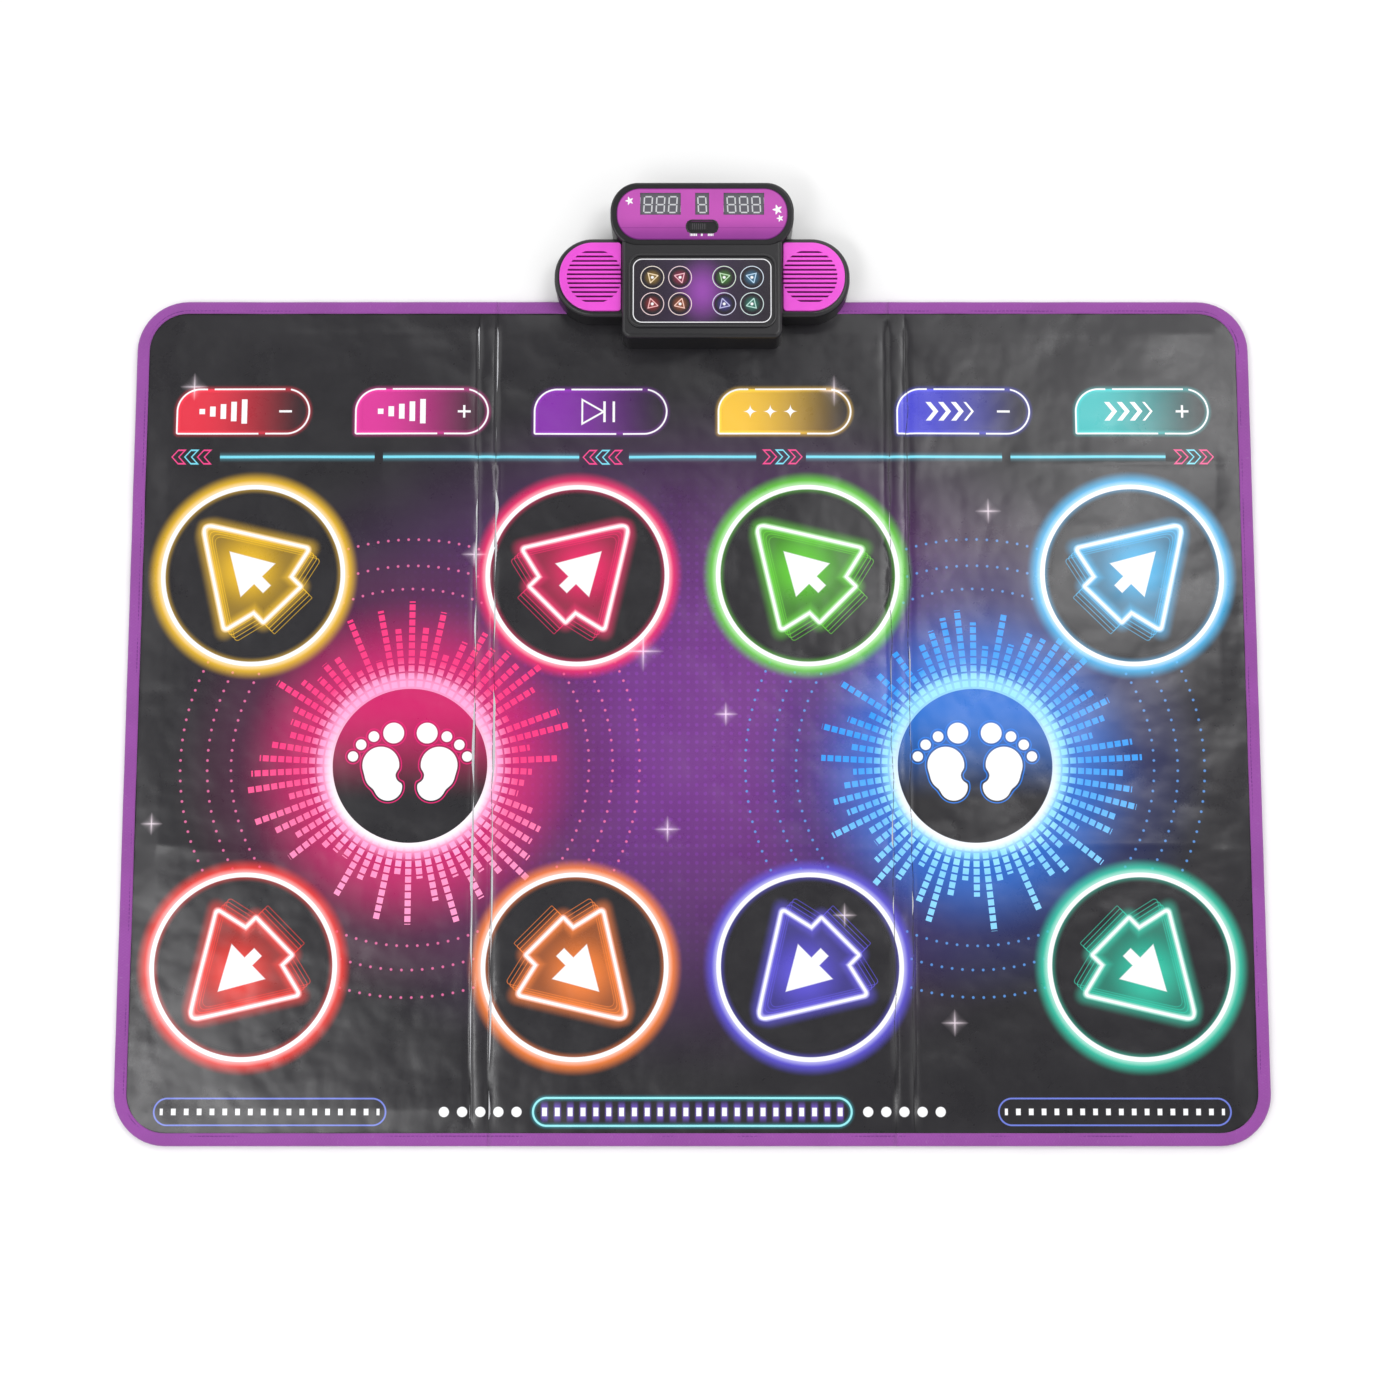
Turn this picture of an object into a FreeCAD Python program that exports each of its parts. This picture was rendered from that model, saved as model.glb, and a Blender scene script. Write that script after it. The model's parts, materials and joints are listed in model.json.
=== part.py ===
"""Folding electronic dance mat with a battery console, in millimetres.

X runs to the player's right, Y away from the player and Z up.  The origin is the
middle of the footprint, on the floor.  The mat is a stack of layers in three panels
that fold at two lines, and the console stands behind it over its rear edge.
"""
import FreeCAD, Part
import Sketcher
import os

doc = FreeCAD.newDocument("DanceMat")

SIZES = {
    # mat outline and folds
    "mat_width": 1055, "mat_depth": 790, "mat_corner": 48, "console_overhang": 100,
    "fold_offset": 194, "fold_gap": 0.3, "core_gap": 17,
    # mat layers, from the floor up
    "cloth_thickness": 0.8, "foam_thickness": 2.8, "film_thickness": 0.3,
    "spacer_thickness": 1.5, "cover_thickness": 0.6,
    "tape_width": 12, "tape_thickness": 0.6, "layer_clearance": 0.1,
    # pressing areas
    "pad_radius": 76, "outer_pad_margin": 39.5, "inner_pad_margin": 1.5,
    "rear_pad_inset": 264, "front_pad_inset": 162, "press_clearance": 0.3,
    "key_inset": 107, "key_depth": 36, "key_corner": 8, "key_length": 118, "short_key_length": 98,
    "outer_key_inset": 102.5, "fold_key_offset": 69, "inner_key_x": 87,
    # console outline
    "console_x": 9, "wing_length": 278, "wing_depth": 76, "wing_offset": 15, "round_share": 0.48,
    "block_width": 150, "block_overlap": 46, "pod_width": 172, "pod_depth": 57,
    "pod_corner_margin": 2.5,
    # console heights
    "foot_height": 2.4, "foot_radius": 5, "floor_over_mat": 7, "parting_height": 16,
    "wing_height": 34, "block_height": 44, "pod_front_height": 40, "pod_tilt": 14,
    "case_wall": 2, "case_edge": 4, "part_clearance": 0.3, "pilot_clearance": 0.1,
    # console face
    "cap_length": 58, "cap_depth": 66, "cap_thickness": 2.4, "cap_inset": 5, "cap_corner": 3,
    "slot_width": 1.9, "slot_pitch": 4.3, "slot_field_radius": 26,
    "speaker_radius": 25, "speaker_height": 14, "magnet_radius": 13,
    "label_width": 130, "label_depth": 62, "label_corner": 9, "label_thickness": 0.8,
    "lamp_radius": 9, "lamp_inner_x": 20.6, "lamp_outer_x": 46.5, "lamp_row_offset": 12.75,
    "light_radius": 2.5, "panel_width": 160, "panel_margin": 10, "panel_corner_margin": 1.5,
    "panel_thickness": 1.2, "window_offset": 39, "window_inset": 14, "window_margin": 27,
    "wide_window": 38, "narrow_window": 13, "lens_thickness": 1, "lens_overlap": 1.5,
    "digit_height": 6, "board_thickness": 1.6,
    "switch_inset": 12, "switch_width": 28, "switch_depth": 10, "knob_length": 17,
    "knob_depth": 7, "knob_travel": 6.5, "knob_thickness": 1.6,
    # console insides
    "board_length": 100, "board_depth": 40, "board_inset": 19, "board_z": 20.4,
    "chip_length": 18, "chip_depth": 12, "chip_height": 2.4,
    "battery_diameter": 14.5, "battery_length": 50.5, "battery_gap": 0.7, "battery_margin": 5.3,
    "door_length": 72, "door_margin": 3.2, "door_screw_inset": 4.5, "contact_thickness": 0.8,
    "post_radius": 3, "boss_radius": 4, "screw_radius": 1.25, "screw_head_radius": 2.8,
    "screw_head_height": 1.6, "boss_x": 118, "boss_offset": 27, "rear_boss_x": 62, "rear_boss_inset": 5.5,
    # joint between console and mat
    "clamp_length": 120, "clamp_depth": 26, "clamp_inset": 26, "clamp_thickness": 1.2,
    "clamp_screw_x": 48, "tail_width": 30, "tail_thickness": 0.4, "tail_inset": 24,
    "socket_wall": 2, "socket_depth": 6, "socket_height": 5,
}

PAD_ROWS = {"rear": ("yellow", "pink", "green", "cyan"), "front": ("red", "orange", "violet", "teal")}
COLUMNS = (("outer", -1), ("inner", -1), ("inner", 1), ("outer", 1))
KEYS = (("volume_down", "outer", -1), ("volume_up", "fold", -1), ("start", "inner", -1),
        ("level", "inner", 1), ("speed_down", "fold", 1), ("speed_up", "outer", 1))

sizes = doc.addObject("Spreadsheet::Sheet", "Sizes")
for row, (alias, number) in enumerate(SIZES.items(), 1):
    sizes.set(f"A{row}", alias)
    sizes.set(f"B{row}", str(number))
    sizes.setAlias(f"B{row}", alias)

# Levels and lines that several pieces share, each worked out from the driving sizes.
LEVELS = {
    "foam_floor": "cloth_thickness",
    "film_floor": "cloth_thickness + foam_thickness",
    "spacer_floor": "film_floor + film_thickness",
    "cover_floor": "spacer_floor + spacer_thickness",
    "cover_top": "cover_floor + cover_thickness",
    "mat_front": "-(mat_depth + console_overhang) / 2",
    "mat_rear": "mat_front + mat_depth",
    "outer_pad_x": "mat_width / 2 - outer_pad_margin - pad_radius",
    "inner_pad_x": "fold_offset - core_gap / 2 - inner_pad_margin - pad_radius",
    "rear_pad_y": "mat_rear - rear_pad_inset",
    "front_pad_y": "mat_front + front_pad_inset",
    "outer_key_x": "mat_width / 2 - outer_key_inset",
    "fold_key_x": "fold_offset + fold_key_offset",
    "key_y": "mat_rear - key_inset",
    "wing_y": "mat_rear + wing_offset",
    "block_front": "mat_rear - block_overlap",
    "pod_rear": "mat_rear + console_overhang",
    "pod_front": "pod_rear - pod_depth",
    "pod_y": "pod_rear - pod_depth / 2",
    "step_y": "mat_rear + part_clearance",
    "label_y": "(block_front + pod_front) / 2",
    "board_y": "mat_rear - board_inset",
    "board_top": "board_z + board_thickness",
    "battery_pitch": "battery_diameter + battery_gap",
    "battery_y": "step_y + case_wall + battery_margin + 2 * battery_pitch",
    "door_depth": "4 * battery_pitch + door_margin",
    "boss_y": "mat_rear + boss_offset",
    "clamp_y": "mat_rear - clamp_inset",
    "tail_y": "mat_rear - tail_inset",
    "pod_corner": "pod_depth / 2 - pod_corner_margin",
    "panel_depth": "pod_depth - panel_margin",
    "panel_corner": "panel_depth / 2 - panel_corner_margin",
    "panel_level": "pod_front_height + pod_depth / 2 * tan(pod_tilt * 1 deg)",
    "window_row": "panel_depth / 2 - window_inset",
    "window_depth": "panel_depth - window_margin",
    "switch_row": "switch_inset - panel_depth / 2",
}
first_level_row = len(SIZES) + 2
for row, (alias, formula) in enumerate(LEVELS.items(), first_level_row):
    sizes.set(f"A{row}", alias)
    sizes.set(f"B{row}", "=" + formula)
    sizes.setAlias(f"B{row}", alias)
doc.recompute()

kept = {}


def spread(formula):
    """Write a formula over the sheet: each bare word becomes a cell of the sheet."""
    words = sorted(set(SIZES) | set(LEVELS), key=len, reverse=True)
    marked = str(formula)
    for place, word in enumerate(words):
        marked = marked.replace(word, f"<{place}>")
    for place, word in enumerate(words):
        marked = marked.replace(f"<{place}>", f"Sizes.{word}")
    return marked


def bind(thing, **formulas):
    """Bind properties to formulas; a double underscore stands for a dot in the name."""
    for name, formula in formulas.items():
        thing.setExpression(name.replace("__", "."), spread(formula))
    return thing


def keep(node, thing):
    """Give a finished sub-part its node name."""
    thing.Label = node
    kept[node] = thing
    return thing


def origin_plane(body, role):
    return next(plane for plane in body.Origin.OriginFeatures if plane.Role == role)


def new_sketch(body, role, name, level=None):
    sketch = body.newObject("Sketcher::SketchObject", name)
    sketch.AttachmentSupport = [(origin_plane(body, role), "")]
    sketch.MapMode = "FlatFace"
    if level is not None:
        sketch.setExpression("AttachmentOffset.Base.z", spread(level))
    return sketch


def pin_point(sketch, line, end, across, along):
    """Hold one end of a line at a place given by two formulas."""
    for kind, formula in (("DistanceX", across), ("DistanceY", along)):
        number = sketch.addConstraint(Sketcher.Constraint(kind, -1, 1, line, end, 1.0))
        sketch.setExpression(f"Constraints[{number}]", spread(formula))


def draw_polygon(sketch, corners):
    """Closed polygon whose corners are pairs of formulas."""
    first = sketch.GeometryCount
    rough = [(0, 0), (1, 0), (1, 1), (0, 1)]
    points = [FreeCAD.Vector(*rough[place % 4], 0) for place in range(len(corners))]
    for place, point in enumerate(points):
        sketch.addGeometry(Part.LineSegment(point, points[(place + 1) % len(points)]))
    for place in range(len(corners)):
        following = first + (place + 1) % len(corners)
        sketch.addConstraint(Sketcher.Constraint("Coincident", first + place, 2, following, 1))
    for place, (across, along) in enumerate(corners):
        pin_point(sketch, first + place, 1, across, along)


def draw_circle(sketch, across, along, radius):
    number = sketch.addGeometry(Part.Circle(FreeCAD.Vector(0, 0, 0), FreeCAD.Vector(0, 0, 1), 1))
    pin_point(sketch, number, 3, across, along)
    hold = sketch.addConstraint(Sketcher.Constraint("Radius", number, 1.0))
    sketch.setExpression(f"Constraints[{hold}]", spread(radius))


def rectangle(west, east, south, north):
    return [(west, south), (east, south), (east, north), (west, north)]


def vertical_edges(shape, side):
    """Names of the upright edges of a slab: all of them, or those on its west or east side."""
    middle = shape.BoundBox.Center.x
    names = []
    for number, edge in enumerate(shape.Edges, 1):
        box = edge.BoundBox
        upright = box.ZLength > 0.01 and box.XLength < 0.01 and box.YLength < 0.01
        if upright and (side == "all" or (box.XMin < middle) == (side == "west")):
            names.append(f"Edge{number}")
    return names


def round_edges(body, names, radius):
    base = body.Tip
    fillet = body.newObject("PartDesign::Fillet", "Rounding")
    fillet.Base = (base, names)
    fillet.setExpression("Radius", spread(radius))
    body.Tip = fillet
    doc.recompute()
    return fillet


def slab(name, outline, floor, height, corner=None, side="all"):
    """Flat plate: a rectangle (west, east, south, north) with rounded upright corners."""
    body = doc.addObject("PartDesign::Body", name)
    sketch = new_sketch(body, "XY_Plane", "Outline", floor)
    draw_polygon(sketch, rectangle(*outline))
    plate = body.newObject("PartDesign::Pad", "Plate")
    plate.Profile = sketch
    plate.setExpression("Length", spread(height))
    body.Tip = plate
    doc.recompute()
    if corner is not None:
        round_edges(body, vertical_edges(body.Shape, side), corner)
    return body


def cut_through(body, sketch):
    """Cut a sketch right through a body, both ways from the sketch's plane."""
    doc.recompute()
    before = body.Shape.Volume
    pocket = body.newObject("PartDesign::Pocket", "Opening")
    pocket.Profile = sketch
    pocket.SideType = "Symmetric"
    pocket.Type = "ThroughAll"
    body.Tip = pocket
    doc.recompute()
    if body.Shape.Volume >= before:
        raise RuntimeError(body.Name + ": the openings cut nothing")
    return body


def pierce(body, circles=(), rectangles=()):
    """Cut round and square openings right through a slab."""
    sketch = new_sketch(body, "XY_Plane", "Openings")
    for circle in circles:
        draw_circle(sketch, *circle)
    for outline in rectangles:
        draw_polygon(sketch, rectangle(*outline))
    return cut_through(body, sketch)


def soften_top(body, radius):
    """Round the edges around the highest face of a slab."""
    shape = body.Shape
    top = shape.BoundBox.ZMax
    names = [f"Edge{number}" for number, edge in enumerate(shape.Edges, 1)
             if edge.BoundBox.ZMin > top - 0.01]
    return round_edges(body, names, radius)


def block(name, west, south, floor, length, depth, height):
    box = doc.addObject("Part::Box", name)
    return bind(box, Length=length, Width=depth, Height=height, Placement__Base__x=west,
                Placement__Base__y=south, Placement__Base__z=floor)


def disc(name, across, along, floor, radius, height):
    cylinder = doc.addObject("Part::Cylinder", name)
    return bind(cylinder, Radius=radius, Height=height, Placement__Base__x=across,
                Placement__Base__y=along, Placement__Base__z=floor)


def cut(name, base, *tools):
    """Base with each tool taken away."""
    for tool in tools:
        result = doc.addObject("Part::Cut", name)
        result.Base = base
        result.Tool = tool
        base = result
    return base


def fuse(name, *pieces):
    result = doc.addObject("Part::MultiFuse", name)
    result.Shapes = list(pieces)
    return result


def group(name, *pieces):
    """Several separate solids of one kind in one sub-part."""
    result = doc.addObject("Part::Compound", name)
    result.Links = list(pieces)
    return result


def screw(name, across, along, head_floor, length, head_above=False):
    """Pan-head screw standing upright, with its head at the bottom or at the top."""
    if head_above:
        head = disc(name + "Head", across, along, head_floor, "screw_head_radius", "screw_head_height")
        shank = disc(name + "Shank", across, along, f"{head_floor} - ({length})", "screw_radius",
                     f"{length} + screw_head_height / 2")
    else:
        head = disc(name + "Head", across, along, head_floor, "screw_head_radius", "screw_head_height")
        shank = disc(name + "Shank", across, along, f"{head_floor} + screw_head_height / 2",
                     "screw_radius", f"{length} + screw_head_height / 2")
    return fuse(name, head, shank)


# ---------------------------------------------------------------- the mat

def panel_outline(panel, inset, overrun="0"):
    """Outline of one panel of the mat, set in from the mat's edge; overrun passes the fold."""
    side = {"left": -1, "right": 1}.get(panel)
    south, north = f"mat_front + {inset}", f"mat_rear - {inset}"
    near = f"fold_offset - fold_gap / 2 + {overrun}"
    if side is None:
        return (f"-({near})", near, south, north)
    near = f"fold_offset + fold_gap / 2 - ({overrun})"
    far = f"mat_width / 2 - {inset}"
    if side < 0:
        return (f"-({far})", f"-({near})", south, north)
    return (near, far, south, north)


# The stiff layers stop short of a fold line, where only the cover and the cloth are left to bend.
CORE_END = "(fold_gap / 2 - core_gap / 2)"


def panel_slab(panel, name, inset, floor, height, overrun="0"):
    outline = panel_outline(panel, inset, overrun)
    if panel == "centre":
        return slab(name, outline, floor, height)
    side = "west" if panel == "left" else "east"
    return slab(name, outline, floor, height, f"mat_corner - {inset}", side)


def panel_sides(panel):
    """Columns of pressing areas that lie on one panel: (column, sign)."""
    if panel == "centre":
        return (("inner", -1), ("inner", 1))
    return (("outer", -1 if panel == "left" else 1),)


def key_length(column):
    return "short_key_length" if column == "fold" else "key_length"


def key_outline(column, sign, grow="0"):
    """Outline of one key's pressing area, grown all round."""
    half = f"({key_length(column)} / 2 + {grow})"
    middle = f"{sign} * {column}_key_x"
    return (f"{middle} - {half}", f"{middle} + {half}",
            f"key_y - key_depth / 2 - {grow}", f"key_y + key_depth / 2 + {grow}")


def panel_keys(panel):
    wanted = {"left": ("outer", "fold"), "centre": ("inner",), "right": ("outer", "fold")}[panel]
    signs = {"left": (-1,), "centre": (-1, 1), "right": (1,)}[panel]
    return [(column, sign) for _, column, sign in KEYS if column in wanted and sign in signs]


def pressing_openings(panel):
    """Openings that clear the round pads and the keys of one panel."""
    circles = [(f"{sign} * {column}_pad_x", f"{row}_pad_y", "pad_radius + press_clearance")
               for column, sign in panel_sides(panel) for row in ("rear", "front")]
    boxes = [key_outline(column, sign, "press_clearance") for column, sign in panel_keys(panel)]
    return circles, boxes


def clamp_screw_holes():
    return [(f"console_x + {sign} * clamp_screw_x", "clamp_y", "screw_radius + part_clearance")
            for sign in (-1, 1)]


def clamp_opening(grow):
    return (f"console_x - clamp_length / 2 - {grow}", f"console_x + clamp_length / 2 + {grow}",
            f"clamp_y - clamp_depth / 2 - {grow}", f"clamp_y + clamp_depth / 2 + {grow}")


def tail_opening():
    half = "(tail_width / 2 + part_clearance)"
    thick = "(tail_thickness / 2 + part_clearance)"
    return (f"console_x - {half}", f"console_x + {half}", f"tail_y - {thick}", f"tail_y + {thick}")


def build_cloth(panel):
    """Non-slip cloth that the mat lies on, inside the tape's lower edge."""
    cloth = panel_slab(panel, "Cloth", "(tape_width + part_clearance)", "0", "cloth_thickness")
    if panel == "centre":
        pierce(cloth, rectangles=[clamp_opening("part_clearance")])
    keep(f"cloth_{panel}", cloth)


def build_foam(panel):
    foam = panel_slab(panel, "Foam", "(tape_thickness + layer_clearance)", "foam_floor", "foam_thickness",
                      CORE_END)
    if panel == "centre":
        pierce(foam, rectangles=[clamp_opening("part_clearance")])
    keep(f"foam_{panel}", foam)


def build_circuit_film(panel):
    """Film with the printed lower contacts, on the foam."""
    film = panel_slab(panel, "Film", "(tape_thickness + layer_clearance)", "film_floor", "film_thickness",
                      CORE_END)
    if panel == "centre":
        pierce(film, circles=clamp_screw_holes())
    keep(f"circuit_film_{panel}", film)


def build_spacer(panel):
    """Sponge that holds the contacts apart, open under each pressing area."""
    spacer = panel_slab(panel, "Spacer", "(tape_thickness + layer_clearance)", "spacer_floor",
                        "spacer_thickness", CORE_END)
    circles, boxes = pressing_openings(panel)
    if panel == "centre":
        circles += clamp_screw_holes()
        boxes.append(tail_opening())
    pierce(spacer, circles, boxes)
    keep(f"spacer_{panel}", spacer)


def build_cover(panel):
    """Printed top film, open where the pressing areas travel."""
    cover = panel_slab(panel, "Cover", "(tape_thickness + layer_clearance)", "cover_floor",
                       "cover_thickness")
    circles, boxes = pressing_openings(panel)
    if panel == "centre":
        circles += clamp_screw_holes()
        boxes.append(tail_opening())
    pierce(cover, circles, boxes)
    keep(f"cover_{panel}", cover)


def build_tape(panel):
    """Edge tape, folded over the layers like a letter C."""
    body = panel_slab(panel, "Tape", "0", "0", "cover_top + tape_thickness")
    layers = panel_slab(panel, "TapeInside", "tape_thickness", "tape_thickness",
                        "cover_top - tape_thickness", "tape_width")
    window = panel_slab(panel, "TapeWindow", "tape_width", "-tape_width", "cover_top + 2 * tape_width",
                        "tape_width")
    keep(f"edge_tape_{panel}", cut("EdgeTape", body, layers, window))


def build_pads():
    """Eight round pads, each a piece of the cover with its contact on the back."""
    for row, colours in PAD_ROWS.items():
        for colour, (column, sign) in zip(colours, COLUMNS):
            pad = disc("Pad", f"{sign} * {column}_pad_x", f"{row}_pad_y", "cover_floor", "pad_radius",
                       "cover_thickness")
            keep(f"{colour}_pad", pad)


def build_keys():
    for name, column, sign in KEYS:
        key = slab("Key", key_outline(column, sign), "cover_floor", "cover_thickness", "key_corner")
        keep(f"{name}_key", key)


# ---------------------------------------------------------------- console shells

def wing_slab(name, inset, floor, height):
    outline = (f"console_x - wing_length / 2 + {inset}", f"console_x + wing_length / 2 - ({inset})",
               f"wing_y - wing_depth / 2 + {inset}", f"wing_y + wing_depth / 2 - ({inset})")
    return slab(name, outline, floor, height, f"round_share * wing_depth - {inset}")


def block_slab(name, inset, floor, height):
    outline = (f"console_x - block_width / 2 + {inset}", f"console_x + block_width / 2 - ({inset})",
               f"block_front + {inset}", "pod_y")
    return slab(name, outline, floor, height, f"2 * case_edge - {inset} / 2")


def pod_slab(name, inset, floor, height):
    outline = (f"console_x - pod_width / 2 + {inset}", f"console_x + pod_width / 2 - ({inset})",
               f"pod_front + {inset}", f"pod_rear - ({inset})")
    return slab(name, outline, floor, height, f"pod_corner - {inset}")


def footprint(name, inset, floor, height):
    """The console's outline as one solid."""
    return fuse(name, wing_slab(name + "Wing", inset, floor, height),
                block_slab(name + "Block", inset, floor, height),
                pod_slab(name + "Pod", inset, floor, height))


def case_boss_places():
    """The four screws that join base and top: two in the wings, two in the pod."""
    return [(f"console_x + {sign} * boss_x", "boss_y") for sign in (-1, 1)] + \
           [(f"console_x + {sign} * rear_boss_x", "(pod_rear - rear_boss_inset)") for sign in (-1, 1)]


def board_post_places():
    return [(f"console_x + {sign} * (board_length / 2 - 2 * post_radius)",
             f"board_y + {end} * (board_depth / 2 - 1.5 * post_radius)")
            for sign in (-1, 1) for end in (-1, 1)]


def door_screw_place():
    return "console_x + door_length / 2 - door_screw_inset", "battery_y"


def door_screw_boss():
    """Bracket on the base's floor that reaches over the door and takes its screw."""
    across, along = door_screw_place()
    west = f"{across} - post_radius"
    length = "post_radius + door_screw_inset + 2 * case_wall"
    above = "foot_height + case_wall + part_clearance"
    arm = block("DoorScrewArm", west, f"{along} - post_radius", above, length, "2 * post_radius", "8")
    root = block("DoorScrewRoot", "console_x + door_length / 2 + 2 * part_clearance",
                 f"{along} - post_radius", "foot_height + case_wall / 2",
                 "2 * case_wall - 2 * part_clearance", "2 * post_radius", "case_wall + 2")
    return arm, root


def build_base():
    """Lower shell: low behind the mat, stepped up over its rear edge."""
    outside = footprint("BaseOutside", "0", "foot_height", "parting_height - foot_height")
    over_mat = block("OverMat", "console_x - wing_length", "block_front - case_edge", "0",
                     "2 * wing_length", "step_y - block_front + case_edge", "floor_over_mat")
    hollow = footprint("BaseHollow", "case_wall", "floor_over_mat + case_wall", "parting_height")
    low = footprint("BaseLow", "case_wall", "foot_height + case_wall", "parting_height")
    behind = block("BehindStep", "console_x - wing_length", "step_y + case_wall", "0",
                   "2 * wing_length", "2 * console_overhang", "parting_height + case_wall")
    low_hollow = doc.addObject("Part::Common", "LowHollow")
    low_hollow.Base = low
    low_hollow.Tool = behind
    shell = cut("BaseShell", outside, over_mat, hollow, low_hollow)
    floor = "foot_height + case_wall / 2"
    bosses = [disc("BaseBoss", x, y, floor, "boss_radius", f"parting_height - ({floor})")
              for x, y in case_boss_places()]
    posts = [disc("BoardPost", x, y, "floor_over_mat + case_wall / 2", "post_radius",
                  "board_z - floor_over_mat - case_wall / 2") for x, y in board_post_places()]
    solid = fuse("BaseSolid", shell, *bosses, *posts, *door_screw_boss())
    holes = []
    for x, y in case_boss_places():
        holes.append(disc("BossHole", x, y, "0", "screw_radius + part_clearance", "parting_height * 2"))
        holes.append(disc("HeadRecess", x, y, "0", "screw_head_radius + part_clearance",
                          "foot_height + screw_head_height + part_clearance"))
    for x, y in board_post_places():
        holes.append(disc("PostHole", x, y, "board_z - 8", "screw_radius + pilot_clearance", "10"))
    for x, y, radius in clamp_screw_holes():
        holes.append(disc("ClampHole", x, y, "0", radius, "parting_height"))
    grow = "part_clearance"
    holes.append(block("DoorOpening", f"console_x - door_length / 2 - {grow}",
                       f"battery_y - door_depth / 2 - {grow}", "0", f"door_length + 2 * {grow}",
                       f"door_depth + 2 * {grow}", "foot_height + case_wall + 0.5"))
    across, along = door_screw_place()
    holes.append(disc("DoorScrewHole", across, along, "0", "screw_radius + part_clearance",
                      "parting_height"))
    west, _, south, _ = tail_opening()
    holes.append(block("TailSlot", west, south, "0", "tail_width + 2 * part_clearance",
                       "tail_thickness + 2 * part_clearance", "parting_height"))
    keep("console_base", cut("ConsoleBase", solid, fuse("BaseHoles", *holes)))


def cap_outline(sign, inset):
    """Outline of a speaker cap: round at the far end and square at the block."""
    far = f"(wing_length / 2 - cap_inset - {inset})"
    near = f"(wing_length / 2 - cap_inset - cap_length + {inset})"
    west, east = (f"console_x - {far}", f"console_x - {near}")
    if sign > 0:
        west, east = (f"console_x + {near}", f"console_x + {far}")
    return (west, east, f"wing_y - cap_depth / 2 + {inset}", f"wing_y + cap_depth / 2 - ({inset})")


def cap_slab(name, sign, inset, floor, height):
    cap = slab(name, cap_outline(sign, inset), floor, height, f"round_share * cap_depth - {inset}",
               "west" if sign < 0 else "east")
    near = [name for name in vertical_edges(cap.Shape, "east" if sign < 0 else "west")
            if abs(cap.Shape.getElement(name).BoundBox.XMin -
                   (cap.Shape.BoundBox.XMax if sign < 0 else cap.Shape.BoundBox.XMin)) < 0.01]
    round_edges(cap, near, "cap_corner")
    return cap


def speaker_x(sign):
    return f"console_x + {sign} * (wing_length / 2 - cap_inset - cap_depth / 2)"


def lamp_places():
    return [(f"console_x + {side} * lamp_{column}_x", f"label_y + {row} * lamp_row_offset")
            for side in (-1, 1) for column in ("inner", "outer") for row in (-1, 1)]


def lamp_board_screw_places():
    return [(f"console_x + {side} * (label_width / 2 - 2 * post_radius)",
             f"label_y + {row} * label_depth / 3")
            for side in (-1, 1) for row in (-1, 1)]


def build_top():
    """Upper shell: two wings and the raised block, open at the rear where the pod stands."""
    wing = wing_slab("TopWing", "0", "parting_height", "wing_height - parting_height")
    soften_top(wing, "case_edge")
    middle = block_slab("TopBlock", "0", "parting_height", "block_height - parting_height")
    soften_top(middle, "case_edge")
    inside_wing = wing_slab("InsideWing", "case_wall", "0", "wing_height - case_wall")
    inside_block = block_slab("InsideBlock", "case_wall", "0", "block_height - case_wall")
    pod_space = pod_slab("PodSpace", "-part_clearance", "0", "2 * block_height")
    shell = cut("TopShell", fuse("TopOutside", wing, middle), fuse("TopInside", inside_wing, inside_block),
                pod_space)
    wing_bosses = [disc("TopBoss", x, y, "parting_height", "boss_radius",
                        "wing_height - parting_height - case_wall / 2") for x, y in case_boss_places()[:2]]
    lamp_posts = [disc("LampPost", x, y, "block_height - 3 * case_wall", "post_radius",
                       "2.5 * case_wall") for x, y in lamp_board_screw_places()]
    solid = fuse("TopSolid", shell, *wing_bosses, *lamp_posts)
    holes = [disc("TopPilot", x, y, "0", "screw_radius + pilot_clearance", "wing_height - 3 * case_wall")
             for x, y in case_boss_places()[:2]]
    holes += [disc("LampPilot", x, y, "0", "screw_radius + pilot_clearance", "block_height - case_wall")
              for x, y in lamp_board_screw_places()]
    holes += [disc("SoundOpening", speaker_x(sign), "wing_y", "0", "slot_field_radius", "2 * wing_height")
              for sign in (-1, 1)]
    holes += [disc("LampOpening", x, y, "0", "lamp_radius + part_clearance", "2 * block_height")
              for x, y in lamp_places()]
    keep("console_top", cut("ConsoleTop", solid, fuse("TopHoles", *holes)))


def tilted_body(name, outline, floor, height, corner):
    """Slab in the pod's slanting frame: its zero is the middle of the slanting face."""
    body = slab(name, outline, floor, height, corner)
    body.Placement = FreeCAD.Placement(FreeCAD.Vector(), FreeCAD.Rotation(FreeCAD.Vector(1, 0, 0), 1))
    bind(body, Placement__Base__x="console_x", Placement__Base__y="pod_y", Placement__Base__z="panel_level")
    body.setExpression("Placement.Rotation.Angle", "Sizes.pod_tilt * 1 deg")
    return body


def centred(across, along, width, depth):
    return (f"{across} - {width} / 2", f"{across} + {width} / 2",
            f"{along} - {depth} / 2", f"{along} + {depth} / 2")


def slanted(name, inset, lowered):
    """Pod outline as a solid under the slanting plane, lowered by a distance."""
    body = pod_slab(name, inset, "parting_height", "3 * block_height")
    sketch = new_sketch(body, "YZ_Plane", "Slant")
    rise = "pod_depth * tan(pod_tilt * 1 deg)"
    reach = "tan(pod_tilt * 1 deg) * case_edge"
    draw_polygon(sketch, [
        ("pod_front - case_edge", f"pod_front_height - {reach} - {lowered}"),
        ("pod_rear + case_edge", f"pod_front_height + {rise} + {reach} - {lowered}"),
        ("pod_rear + case_edge", "5 * block_height"),
        ("pod_front - case_edge", "5 * block_height")])
    return cut_through(body, sketch)


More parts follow.
